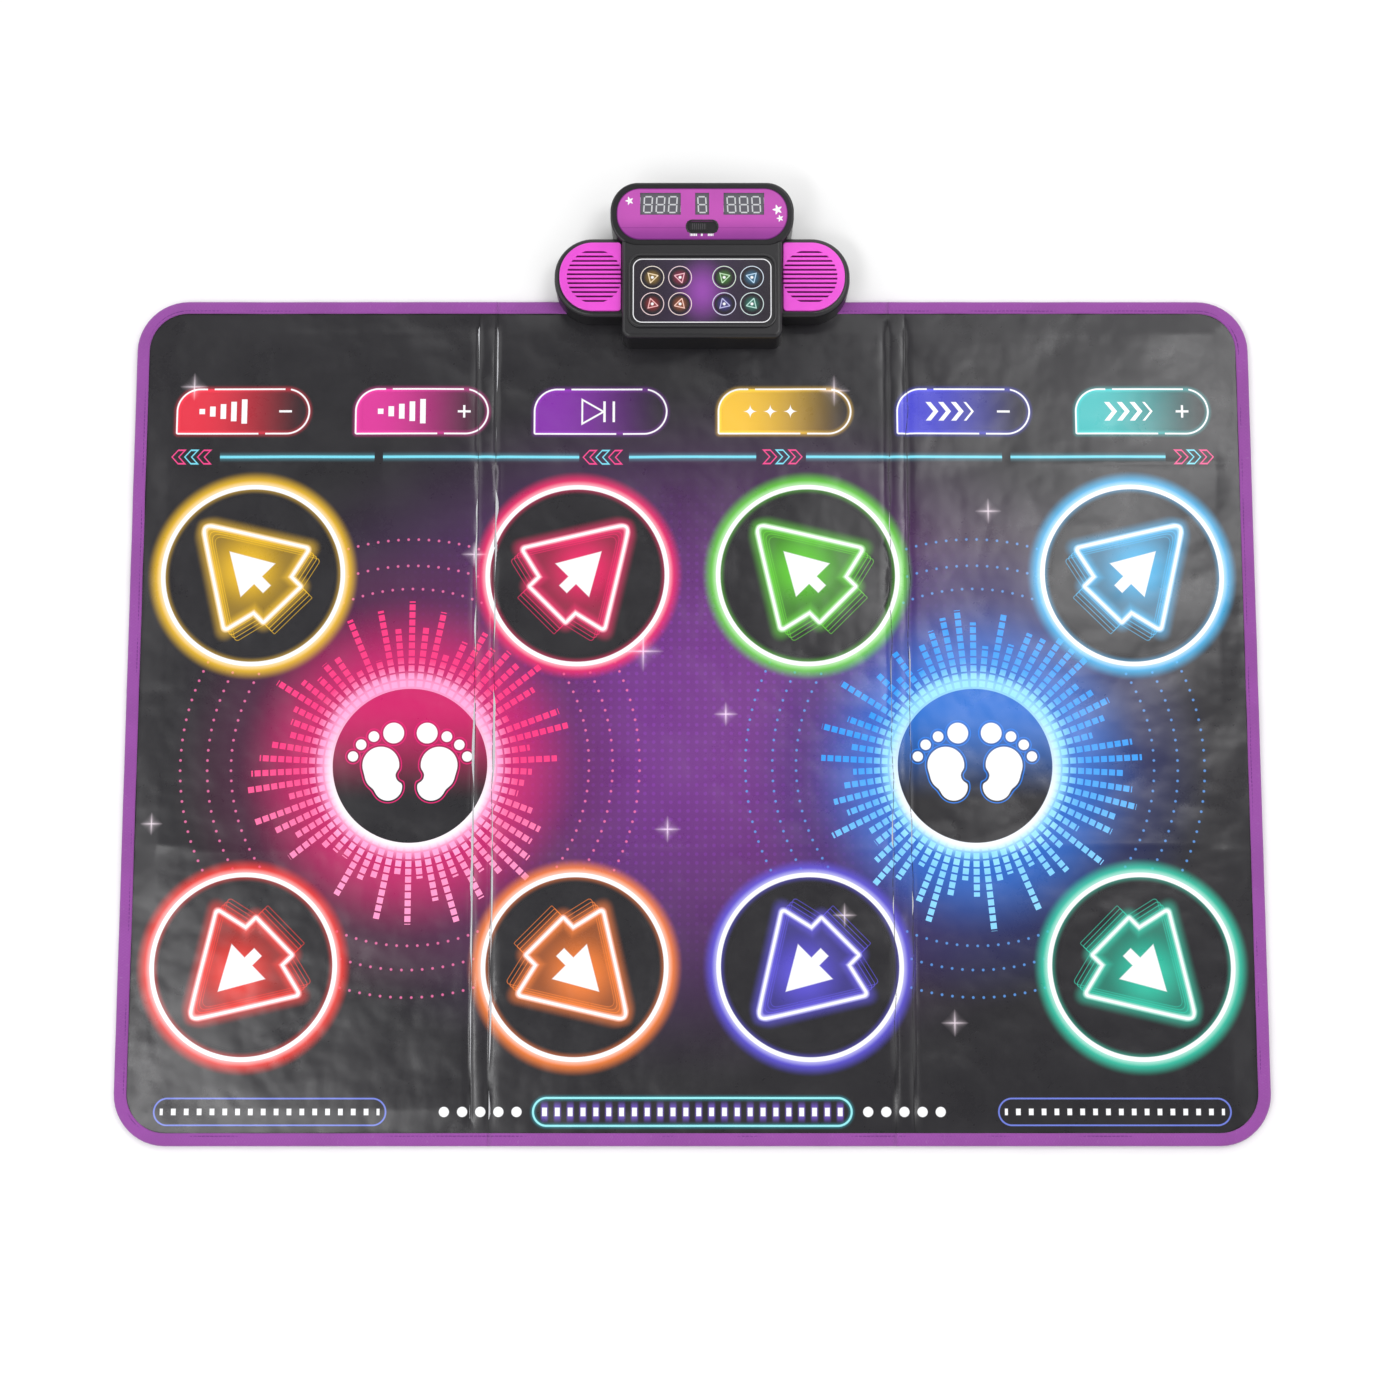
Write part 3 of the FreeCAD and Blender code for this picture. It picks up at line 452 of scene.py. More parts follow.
def print_bursts(inks, x, y):
    """Two bursts of small squares around a dark disc with a pair of footprints."""
    side = x.sign()
    across = abs(x) - BURST_X
    along = y - BURST_Y
    reach = length(across, along)
    right = x.above(0)
    halo = right.choose((srgb(222, 28, 112), srgb(28, 120, 225)))
    pale = right.choose((srgb(255, 165, 212), srgb(150, 222, 255)))
    inks.ink(right.choose((srgb(88, 26, 62), srgb(24, 48, 110))), reach.fade(225, 150) * 0.45)
    inks.ink(halo, reach.fade(165, 84) * 0.68)
    for radius, count in ((166.0, 110), (188.0, 124), (213.0, 140)):
        turn = along.angle(across) * (count / math.tau)
        dot = length((turn.part() - 0.5) * (radius * math.tau / count), reach - radius)
        inks.ink(right.choose((srgb(235, 110, 165), srgb(90, 150, 225))), dot.fade(1.6, 0.8) * 0.8)
    turn = along.angle(across * side) * (62 / math.tau)
    column = turn.floor()
    sideways = (turn.part() - 0.5) * reach * (math.tau / 62)
    row = (reach - 73) / 7.2
    outward = (row.part() - 0.5) * 7.2
    tall = (column + right * 77).random().power(0.8) * 56 + 100
    square = abs(sideways).most(abs(outward)).fade(2.95, 2.6)
    square = square * reach.below(tall) * reach.above(73)
    tone = Inks(inks.tree, right.choose((srgb(250, 55, 125), srgb(45, 150, 245))))
    tone.ink(pale, (along.fade(20, -130) * 0.85 + reach.fade(102, 78)).least(1) * 0.9)
    inks.ink(tone.colour, square)
    ring = reach.above(71.5)
    inks.ink(pale, reach.fade(91, 77) * ring * 0.75)
    inks.ink(WHITE, reach.fade(82, 73) * ring * along.fade(70, -50) * 0.9)
    disc = reach.fade(71.9, 71.3)
    inks.ink(INK_BLACK, disc)
    inks.ink(halo, disc * along.fade(-34, 60) * 0.78)
    print_feet(inks, across, along, halo)


def print_feet(inks, across, along, halo):
    aside = abs(across)
    ball = length(aside - 27, along - 0.5) - 17
    arch = length(aside - 28, along + 9) - 13.5
    heel = length(aside - 20, along + 19.5) - 13
    foot = ball.blended_least(arch, 4).blended_least(heel, 5)
    foot = foot.blended_most(6.5 - length(aside - 6.5, along + 9.5), 4)
    for toe_x, toe_y, toe in ((15.5, 30.3, 9.6), (33.8, 27, 4.9), (45.5, 19.4, 4.8), (52.9, 8.5, 4.7)):
        foot = foot.least(length(aside - toe_x, along - toe_y) - toe)
    inks.ink(halo, (foot - 2.1).line(0.45))
    inks.ink(WHITE, foot.inside())


def print_pads(inks, x, y):
    """Eight neon rings, each with an arrow that points away from its column's middle."""
    side = x.sign()
    outer = (abs(x) - (PAD_OUTER + PAD_INNER) / 2).sign()
    rear = (y - (PAD_REAR + PAD_FRONT) / 2).sign()
    across = x - side * (outer * ((PAD_OUTER - PAD_INNER) / 2) + (PAD_OUTER + PAD_INNER) / 2)
    along = y - (rear * ((PAD_REAR - PAD_FRONT) / 2) + (PAD_REAR + PAD_FRONT) / 2)
    reach = length(across, along)
    column = side * (outer * 0.5 + 1.0) + 1.5
    number = column + (1 - rear) * 2
    neon = number.choose([NEON[colour] for colour in PAD_COLOURS])
    point_x = across * side * outer
    point_y = along * rear
    ahead = (point_x + point_y) * (DIAGONAL / RING)
    aside = abs(point_x - point_y) * (DIAGONAL / RING)
    disc = reach.fade(RING + 0.5, RING - 0.5)
    bright = Inks(inks.tree, neon)
    bright.ink(WHITE, 0.35)
    inks.ink(neon, reach.fade(RING + 16, RING + 3) * 0.9)
    inks.ink(bright.colour, reach.fade(RING + 7, RING + 2))
    inks.ink(INK_BLACK, disc)
    inks.glow(neon, reach.fade(RING - 7, RING) * disc * 0.45)
    edge = arrow_distance(ahead, aside)
    inks.ink(neon, edge.inside(0.02) * (length(ahead - 0.1, aside).fade(0.5, 0.05) * 0.6 + 0.3))
    inks.glow(neon, edge.fade(0.14, 0.0) * edge.fade(-0.12, 0.0) * 0.5)
    for step in range(1, 5):
        trail = arrow_distance(ahead + 0.045 * step, aside)
        inks.ink(neon, trail.line(0.004, 0.003) * (1 - 0.12 * step))
    inks.ink(bright.colour, edge.line(0.03, 0.012))
    inks.ink(WHITE, edge.line(0.015, 0.008))
    inks.ink(WHITE, small_arrow_distance(ahead, aside).inside(0.008))
    inks.ink(WHITE, (reach - RING).line(2.1, 0.5))


def print_keys(inks, x, y):
    """Six soft keys: a rounded outline, a fading fill and plain symbols instead of words."""
    side = x.sign()
    place = ((abs(x) - KEY_X) / KEY_PITCH + 0.5).floor().most(0).least(2)
    across = side * (abs(x) - KEY_X - place * KEY_PITCH)
    along = y - KEY_Y
    number = side * (place + 0.5) + 2.5
    rows = (srgb(225, 50, 70), srgb(215, 55, 150), srgb(130, 45, 165), srgb(245, 195, 60),
            srgb(75, 75, 205), srgb(55, 185, 185))
    tint = number.choose(rows)
    corner = across.above(0).most(along.above(0)) * 20.5 + 1.2
    edge = box_distance(across, along, 62.5, 21.5, corner)
    inks.ink(tint, edge.inside(0.4) * across.fade(66, -50) * 0.95)
    inks.glow(tint, edge.line(0.6, 4.0) * 0.8)
    gaps = 1 - abs(across + 31).below(3.2) * along.above(0)
    gaps = gaps * (1 - abs(across - 42).below(2.6) * along.above(0))
    gaps = gaps * (1 - abs(across - 18).below(3.2) * along.below(0))
    inks.ink(WHITE, edge.line(0.75) * gaps)
    upper_keys = place.above(0.5)
    left = x.below(0)
    cell = ((across + 44) / 10).floor()
    bar_across = abs(((across + 44) / 10).part() - 0.5) * 10 - 2.6
    bar = bar_across.most(abs(along) - 2.5 - cell * 2.3)
    bar = bar.most(-cell - 0.5).most(cell - 4.5)
    inks.ink(WHITE, bar.inside(0.3) * upper_keys * left)
    arrow = across - 4 + abs(along) * 0.8
    stroke = (abs((arrow / 12).part() - 0.5) * 12 - 2.4).most(abs(along) - 9)
    stroke = stroke.most(-arrow - 36).most(arrow - 6)
    inks.ink(WHITE, stroke.inside(0.3) * upper_keys * (1 - left))
    sign_x = across - 38 - left * 2
    flat = (abs(sign_x) - 6).most(abs(along) - 1)
    upright = (abs(along) - 6).most(abs(sign_x) - 1)
    plus = (number.above(0.5) * number.below(1.5)).most(number.above(4.5))
    inks.ink(WHITE, flat.inside(0.3).most(upright.inside(0.3) * plus) * upper_keys)
    start = (1 - upper_keys) * left
    play_x = across + 8
    play = (abs(along) * 0.87 + play_x * 0.5 - 5.4).most(-play_x - 9.4)
    pause = (abs(abs(play_x - 16) - 4.4) - 1.1).most(abs(along) - 10)
    inks.ink(WHITE, play.line(0.8).most(pause.inside(0.3)) * start)
    star_x = ((across + 42) / 19).part() - 0.5
    diamond = (abs(star_x) * 19).root() + abs(along).root() - 2.7
    star = diamond.most(abs(across + 13.5) - 28)
    inks.ink(WHITE, star.inside(0.15) * (1 - upper_keys) * (1 - left))


def print_line(inks, x, y):
    """Cyan line under the keys, broken by groups of chevrons that point outwards."""
    aside = abs(x)
    along = y - LINE_Y
    runs = aside.below(60).most(aside.above(107) * aside.below(446) * (1 - abs(aside - 296).below(4)))
    cyan = srgb(120, 215, 235)
    inks.glow(cyan, along.line(0.8, 5) * runs * 0.5)
    inks.ink(cyan, along.line(1.2, 0.5) * runs)
    near = aside.below(260)
    centre = 472 - near * 388
    point = aside - centre + abs(along) * 0.9 + 14
    cell = (point / 12).floor()
    edge = (abs((point / 12).part() - 0.5) * 12 - 3.2).most(abs(along) - 6.5)
    allowed = cell.above(-0.5) * cell.below(2.5)
    inks.ink((cell + 0.01).choose((srgb(240, 70, 140), cyan, srgb(240, 70, 140))), edge.line(0.7) * allowed)


def print_strip(inks, x, y):
    """Front strip: three capsules with rows of dashes, and round dots between them."""
    aside = abs(x)
    along = y - STRIP_Y
    middle_part = aside.below(152)
    capsule = box_distance(aside - STRIP_SIDE_X, along, 105.5, 12, 12)
    inks.ink(srgb(110, 125, 215), capsule.line(0.7))
    dash = abs(((aside - STRIP_SIDE_X) / DASH_PITCH).part() - 0.5) * DASH_PITCH
    side_dash = (dash - 2.1).most(abs(along) - 2.9).most(abs(aside - STRIP_SIDE_X) - 100)
    inks.ink(WHITE, side_dash.inside(0.3))
    centre_capsule = box_distance(x, along, 145, 12.5, 12.5)
    inks.glow(srgb(40, 190, 205), centre_capsule.line(0.5, 3.5) * middle_part * 0.6)
    inks.ink(srgb(150, 230, 235), centre_capsule.line(0.9) * middle_part)
    tick = abs((x / DASH_PITCH).part() - 0.5) * DASH_PITCH
    column = (tick - 2.2).most(aside - 141)
    inks.glow(srgb(110, 80, 190), (tick.fade(4.2, 1.6) * abs(along).fade(11, 3)) * aside.below(140) * 0.8)
    inks.ink(WHITE, column.most(abs(along) - 3.8).inside(0.4))
    dots = length(((aside - 160) / 16.5 + 0.5).part() * 16.5 - 8.25, along)
    inks.ink(WHITE, (dots - 4.6).inside(0.4) * aside.above(152) * aside.below(234))


def print_sparkles(inks, x, y):
    """Small four-pointed flares scattered over the print."""
    flares = ((-472, 262, 14), (-205, 101, 13), (-46, 9, 20), (31, -50, 12), (-23, -157, 13),
              (278, 142, 13), (-500, -152, 11), (240, -334, 13), (140, -236, 12), (134, 258, 16))
    total = None
    for across, along, size in flares:
        dx = abs(x - across)
        dy = abs(y - along)
        arm = (1 - (dx + dy) / size).most(0) * (dx.least(dy) * 2.2 + 1).power(-1)
        total = arm if total is None else total + arm
    inks.glow((1.0, 0.86, 0.95, 1), total.least(1))


def printed_film():
    """Glossy laminated film, printed from behind, with the fine wrinkles of a folded sheet."""
    material, tree, shader = new_material("printed_film", 0.3, Coat_Weight=0.2, Coat_Roughness=0.18,
                                          Specular_IOR_Level=0.42)
    uv = tree.nodes.new("ShaderNodeUVMap")
    uv.uv_map = "mat_place"
    split = tree.nodes.new("ShaderNodeSeparateXYZ")
    tree.links.new(uv.outputs["UV"], split.inputs[0])
    x = (Field(tree, split.outputs["X"]) - 0.5) * (PRINT_SPAN / MM)
    y = (Field(tree, split.outputs["Y"]) - 0.5) * (PRINT_SPAN / MM)
    wide = noise_field(tree, uv.outputs["UV"], 14, 3.0)
    crumple = noise_field(tree, uv.outputs["UV"], 42, 2.0, 0.5)
    fine = noise_field(tree, uv.outputs["UV"], 420, 2.0, 0.5)
    inks = Inks(tree, INK_BLACK)
    # Painted sheen: the black is lighter in broad patches where the wide wrinkles rise.
    inks.lay("MIX", (0.034, 0.032, 0.036, 1), wide.fade(0.5, 0.72) * 0.5)
    print_background(inks, x, y)
    print_bursts(inks, x, y)
    print_pads(inks, x, y)
    print_keys(inks, x, y)
    print_line(inks, x, y)
    print_strip(inks, x, y)
    print_sparkles(inks, x, y)
    # Painted shade: a near-black line along each fold crease stands in for the shadow in the crease.
    crease_shade = (abs(abs(x) - FOLD / MM) - BEND_REACH / MM + (crumple - 0.5) * 7).line(0.35, 0.3)
    inks.ink((0.004, 0.004, 0.005, 1), crease_shade * fine.fade(0.3, 0.5) * 0.85)
    tree.links.new(inks.colour, shader.inputs["Base Color"])
    tree.links.new(((crumple - 0.5) * 0.24 + (fine - 0.5) * 0.1 + 0.31).socket, shader.inputs["Roughness"])
    bump(tree, shader, crumple * 1.3 + wide * 2.4, 0.0026, 0.7)
    return material


FILM = printed_film()

# ---------------------------------------------------------------- the film's rise and fall

def fall(distance, reach):
    return math.exp(-abs(distance) / reach)


def film_rise(x, y):
    """How far the film stands over its flat place: wrinkles, fold creases and puckers, in metres."""
    edge = min(x - MAT_LOW[0], MAT_HIGH[0] - x, y - MAT_LOW[1], MAT_HIGH[1] - y)
    slow = noise.noise(Vector((x * 5.5, y * 4.5, 3.1)))
    cross = noise.noise(Vector((x * 12, y * 9, 8.4)))
    drag = noise.noise(Vector((x * 6 + y * 4, y * 26 - x * 9, 1.7)))
    rise = 1.5 * slow + 1.0 * cross + 0.5 * drag
    for line in (FOLD - BEND_REACH, FOLD + BEND_REACH):
        wander = 0.002 * noise.noise(Vector((y * 9, line * 3, x > 0)))
        gap = abs(abs(x) - line - wander)
        crimp = noise.noise(Vector((y * 34, x * 16, line * 7)))
        rise -= 1.7 * fall(gap, 0.0028) * (1 + 0.6 * crimp)
        rise += 0.8 * crimp * fall(gap, 0.022)
    for line in (0.19, -0.174):
        rise += 0.8 * fall(y - line - 0.006 * slow, 0.006) * max(0.0, 0.5 + cross)
    pucker = noise.noise(Vector((x * 24, y * 24, 9.2)))
    rise += 1.6 * pucker * fall(max(edge - TAPE_WIDTH, 0), 0.03)
    front = math.hypot(max(abs(x - CONSOLE_X) - CONSOLE_FRONT_HALF, 0), y - CONSOLE_LOW[1])
    bunch = math.sin(x * 55 + 3 * cross + y * 20) * noise.noise(Vector((x * 9, 4.4, 7.7)))
    rise += 3.0 * max(bunch, -0.3) * fall(front, 0.045)
    seat = min(1.0, max(0.0, (edge - TAPE_WIDTH) / 0.02))
    hidden = abs(x - CONSOLE_X) < COVERED_HALF and y > CONSOLE_LOW[1] - 0.002
    in_fold = abs(abs(x) - FOLD) < BEND_REACH + 0.001
    return (0.2 if hidden else max(1.0 + rise, -1.0 if in_fold else -0.35)) * MM * seat


def outline_arc(centre_x, centre_y, radius, start, steps=12):
    return [(centre_x + radius * math.cos(math.radians(start + 90 * step / steps)),
             centre_y + radius * math.sin(math.radians(start + 90 * step / steps)))
            for step in range(steps + 1)]


def panel_outline(panel, inset):
    """Counter-clockwise outline of a panel; each panel ends at the inner side of its bend."""
    near = CORE_EDGE
    south, north = MAT_LOW[1] + inset, MAT_HIGH[1] - inset
    far = MAT_HIGH[0] - inset
    radius = MAT_CORNER - inset
    if panel == "centre":
        return [(-near, south), (near, south), (near, north), (-near, north)]
    right = [(near, south), *outline_arc(far - radius, south + radius, radius, 270),
             *outline_arc(far - radius, north - radius, radius, 0), (near, north)]
    if panel == "right":
        return right
    return [(-x, y) for x, y in reversed(right)]


def densify(points, step, closed=True):
    """Points along a line, no further apart than step."""
    dense = []
    count = len(points)
    for place in range(count if closed else count - 1):
        start, end = Vector(points[place]), Vector(points[(place + 1) % count])
        pieces = max(1, math.ceil((end - start).length / step))
        dense += [tuple(start.lerp(end, piece / pieces)) for piece in range(pieces)]
    if not closed:
        dense.append(tuple(points[-1]))
    return dense


def grid_lines(low, high, step, panel):
    lines = list(np.arange(low + step, high - step / 2, step))
    if panel != "centre":
        side = -1 if panel == "left" else 1
        lines = [line for line in lines if abs(line - side * FOLD) > BEND_REACH + step / 2]
        lines += [side * (CORE_EDGE + BEND_REACH * 2 * part / 10) for part in range(1, 11)]
    return lines


def inside_ring(x, y, ring):
    within = False
    for (ax, ay), (bx, by) in zip(ring, ring[1:] + ring[:1]):
        if (ay > y) != (by > y) and x < (bx - ax) * (y - ay) / (by - ay) + ax:
            within = not within
    return within


def triangulate(rings, panel, step):
    """Fine triangles over a panel, with every ring's line kept as an edge."""
    points, edges = [], []
    for ring in rings:
        first = len(points)
        points += ring
        edges += [(first + place, first + (place + 1) % len(ring)) for place in range(len(ring))]
    held = np.array(points)
    low, high = np.array(rings[0]).min(0), np.array(rings[0]).max(0)
    for x in grid_lines(low[0], high[0], step, panel):
        column = held[abs(held[:, 0] - x) < step * 0.55]
        for y in np.arange(low[1] + step, high[1] - step / 2, step):
            if len(column) and abs(column[:, 1] - y).min() < step * 0.45:
                continue
            if inside_ring(x, y, rings[0]):
                points.append((float(x), float(y)))
    found = delaunay_2d_cdt([Vector(point) for point in points], edges, [], 0, 1e-7)
    return [tuple(point) for point in found[0]], found[2]


def sort_triangles(points, triangles, rings):
    """Triangles by the ring that they lie in: 0 is the panel, others are its openings."""
    centres = np.array([[points[corner] for corner in triangle] for triangle in triangles]).mean(1)
    boxes = [(np.array(ring).min(0), np.array(ring).max(0)) for ring in rings[1:]]
    sorted_out = {place: [] for place in range(len(rings))}
    for triangle, (x, y) in zip(triangles, centres):
        for place, (low, high) in enumerate(boxes, 1):
            if low[0] < x < high[0] and low[1] < y < high[1] and inside_ring(x, y, rings[place]):
                sorted_out[place].append(triangle)
                break
        else:
            if inside_ring(x, y, rings[0]):
                sorted_out[0].append(triangle)
    return sorted_out


def closed_sheet(name, points, triangles, top, thickness, material, map_name):
    """Thin closed sheet over a set of triangles; top gives its upper height at a place."""
    used = sorted({corner for triangle in triangles for corner in triangle})
    order = {corner: place for place, corner in enumerate(used)}
    upper, slopes = [], []
    tiny = 0.0008
    for corner in used:
        x, y = points[corner]
        level = top(x, y)
        upper.append((x, y, level))
        slopes.append(Vector((level - top(x + tiny, y), level - top(x, y + tiny), tiny)).normalized())
    lower = [(x, y, level - thickness) for x, y, level in upper]
    count = len(used)
    faces, edge_uses = [], {}
    for triangle in triangles:
        face = [order[corner] for corner in triangle]
        faces.append(face)
        for start, end in zip(face, face[1:] + face[:1]):
            edge_uses[(start, end)] = True
    rims = [edge for edge in edge_uses if (edge[1], edge[0]) not in edge_uses]
    top_count = len(faces)
    faces += [[corner + count for corner in reversed(face)] for face in faces]
    faces += [[end, start, start + count, end + count] for start, end in rims]
    mesh = bpy.data.meshes.new(name)
    mesh.from_pydata(upper + lower, [], faces)
    mesh.shade_smooth()
    layer = mesh.uv_layers.new(name=map_name)
    places = np.array(upper + lower)[:, :2] / PRINT_SPAN + 0.5
    corners = np.zeros(len(mesh.loops), dtype=np.int32)
    mesh.loops.foreach_get("vertex_index", corners)
    layer.data.foreach_set("uv", places[corners].ravel())
    normals = []
    for number, polygon in enumerate(mesh.polygons):
        for corner in polygon.vertices:
            if number < top_count:
                normals.append(slopes[corner])
            elif number < 2 * top_count:
                normals.append(-slopes[corner - count])
            else:
                normals.append(polygon.normal.copy())
    mesh.normals_split_custom_set(normals)
    piece = bpy.data.objects.new(name, mesh)
    bpy.context.scene.collection.objects.link(piece)
    mesh.materials.append(material)
    return piece


def bend_with_panel(piece, panel):
    """Ride on the middle of the mat; a flap's piece only has its place baked into its mesh and does not bend.
    """
    if panel == "centre":
        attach(piece, "root")
        return
    side = -1 if panel == "left" else 1
    side * (FOLD - BEND_REACH)
    side * (FOLD + BEND_REACH)
    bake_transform(piece)


def pressing_areas(panel):
    """Pads and keys on a panel: node name and the ring of its outline."""
    body_side = {"left": -1, "centre": 0, "right": 1}[panel]
    areas = []
    for node in [f"{colour}_pad" for colour in PAD_COLOURS] + [f"{name}_key" for name in KEY_NAMES]:
        centre = middle(node)
        side = 0 if abs(centre.x) < FOLD else int(math.copysign(1, centre.x))
        if side != body_side:
            continue
        low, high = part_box(node)
        if node.endswith("_pad"):
            radius = (high[0] - low[0]) / 2
            ring = [(centre.x + radius * math.cos(math.tau * step / 96),
                     centre.y + radius * math.sin(math.tau * step / 96)) for step in range(96)]
        else:
            ring = densify([(low[0], low[1]), (high[0], low[1]),
                            (high[0], high[1]), (low[0], high[1])], FILM_STEP)
        areas.append((node, ring))
    return areas


def drawn_in(points, ring):
    """Points scaled towards the middle of a ring, to leave a hairline around it."""
    low, high = np.array(ring).min(0), np.array(ring).max(0)
    centre, half = (low + high) / 2, (high - low) / 2
    scaled = centre + (np.array(points) - centre) * (1 - HAIRLINE / half)
    return [tuple(point) for point in scaled.tolist()]


def film_top(x, y):
    return FILM_TOP + film_rise(x, y)


def build_film(panel):
    """Printed cover of one panel, cut so that each pressing area can go down by itself."""
    areas = pressing_areas(panel)
    outline = densify(panel_outline(panel, TAPE_THICKNESS + 0.3 * MM), FILM_STEP)
    rings = [outline] + [ring for _, ring in areas]
    points, triangles = triangulate(rings, panel, FILM_STEP)
    found = sort_triangles(points, triangles, rings)
    sheet = closed_sheet(f"printed_cover_{panel}", points, found[0], film_top, FILM_THICKNESS * 0.8, FILM,
                         "mat_place")
    bend_with_panel(sheet, panel)
    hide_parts(f"cover_{panel}")
    for place, (node, ring) in enumerate(areas, 1):
        pad = closed_sheet(f"film_{node}", drawn_in(points, ring), found[place], film_top,
                           FILM_THICKNESS * 0.8, FILM, "mat_place")
        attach(pad, node)
        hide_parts(node)
    low, high = np.array(outline).min(0), np.array(outline).max(0)
    width, depth = float(high[0] - low[0]), float(high[1] - low[1])
    open_area = sum(ring_area(ring) for ring in rings[1:])
    return sheet, (width, depth), ring_area(outline) - open_area


def ring_area(ring):
    points = np.array(ring)
    following = np.roll(points, -1, axis=0)
    return abs(float((points[:, 0] * following[:, 1] - points[:, 1] * following[:, 0]).sum())) / 2


# ---------------------------------------------------------------- edge tape, stitches and backing

TAPE = woven_cloth("edge_tape", srgb(148, 66, 160), 9000, 0.00012, Sheen_Weight=0.35)
THREAD = woven_cloth("stitching_thread", srgb(120, 48, 140), 16000, 0.00005)


def dimpled_grip(tree, place, inks, height):
    """Small round grip dots over the backing cloth."""
    split = tree.nodes.new("ShaderNodeSeparateXYZ")
    tree.links.new(place, split.inputs[0])
    across = Field(tree, split.outputs["X"]) * (PRINT_SPAN / MM / 6)
    along = Field(tree, split.outputs["Y"]) * (PRINT_SPAN / MM / 6)
    dots = length(across.part() - 0.5, along.part() - 0.5).fade(0.28, 0.2)
    inks.ink((0.02, 0.02, 0.022, 1), dots * 0.8)
    return height * 0.4 + dots * 2.2


BACKING = woven_cloth("backing_cloth", srgb(58, 56, 62), 5000, 0.00025, decorate=dimpled_grip)


def tape_path(panel):
    """Open lines along the mat's edge that one panel's tape follows."""
    ring = panel_outline(panel, 0)
    if panel == "centre":
        return [densify(side, TAPE_STEP, closed=False) for side in (ring[:2], ring[2:])]
    return [densify(ring, 3 * MM, closed=False)]


def tape_section():
    """Closed section of the folded tape: distance in from the edge, and height, from under the mat."""
    top = FILM_TOP
    return [(TAPE_WIDTH, 0.0), (2.4 * MM, 0.0), (0.9 * MM, 0.3 * MM), (0.15 * MM, 1.4 * MM),
            (0.0, top * 0.55),
            (0.2 * MM, top - 0.5 * MM), (1.0 * MM, top + 0.5 * MM), (2.6 * MM, top + 0.95 * MM),
            (7.0 * MM, top + 0.85 * MM), (TAPE_WIDTH - 1.2 * MM, top + 0.95 * MM),
            (TAPE_WIDTH, top + 0.55 * MM),
            (TAPE_WIDTH, top + 0.1 * MM), (2.6 * MM, top + 0.25 * MM), (0.9 * MM, top - 0.6 * MM),
            (0.8 * MM, 1.3 * MM), (2.4 * MM, 0.55 * MM), (TAPE_WIDTH, 0.55 * MM)]


def tape_swell(x, y):
    """The tape's upper side rises with the puckers beside it."""
    return 0.9 * MM * (noise.noise(Vector((x * 26, y * 26, 6.3))) + 0.35)


def build_tape(panel):
    section = tape_section()
    points, faces, places = [], [], []
    travelled = 0.0
    for line in tape_path(panel):
        first = len(points)
        for place, (x, y) in enumerate(line):
            back = Vector(line[max(place - 1, 0)])
            ahead = Vector(line[min(place + 1, len(line) - 1)])
            run = (ahead - back).normalized()
            inward = Vector((-run.y, run.x))
            if place:
                travelled += (Vector(line[place]) - Vector(line[place - 1])).length
            swell = tape_swell(x, y)
            for turn, (depth, height) in enumerate(section):
                share = max(0.0, (height - 0.6 * FILM_TOP) / (0.4 * FILM_TOP)) if 4 < turn < 13 else 0.0
                lift = swell * share
                spot = Vector((x, y)) + inward * depth
                points.append((spot.x, spot.y, height + max(lift, -0.0002)))
                places.append((travelled / PRINT_SPAN, 0.1 + turn * 1.4 * MM / PRINT_SPAN))
        size = len(section)
        for place in range(len(line) - 1):
            for turn in range(size):
                a = first + place * size + turn
                b = first + place * size + (turn + 1) % size
                faces.append((a, a + size, b + size, b))
        faces.append(tuple(first + turn for turn in range(size)))
        faces.append(tuple(first + (len(line) - 1) * size + turn for turn in reversed(range(size))))
    tape = mesh_piece(f"woven_tape_{panel}", points, faces, places, TAPE)
    bend_with_panel(tape, panel)
    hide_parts(f"edge_tape_{panel}")
    return tape


def mesh_piece(name, points, faces, places, material):
    """Closed piece from points and faces, mapped by one place for each point."""
    mesh = bpy.data.meshes.new(name)
    mesh.from_pydata(points, [], faces)
    mesh.shade_smooth()
    layer = mesh.uv_layers.new(name="cloth_place")
    corners = np.zeros(len(mesh.loops), dtype=np.int32)
    mesh.loops.foreach_get("vertex_index", corners)
    layer.data.foreach_set("uv", np.array(places)[corners].ravel())
    work = bmesh.new()
    work.from_mesh(mesh)
    bmesh.ops.recalc_face_normals(work, faces=work.faces)
    work.to_mesh(mesh)
    work.free()
    mesh.materials.append(material)
    piece = bpy.data.objects.new(name, mesh)
    bpy.context.scene.collection.objects.link(piece)
    return piece


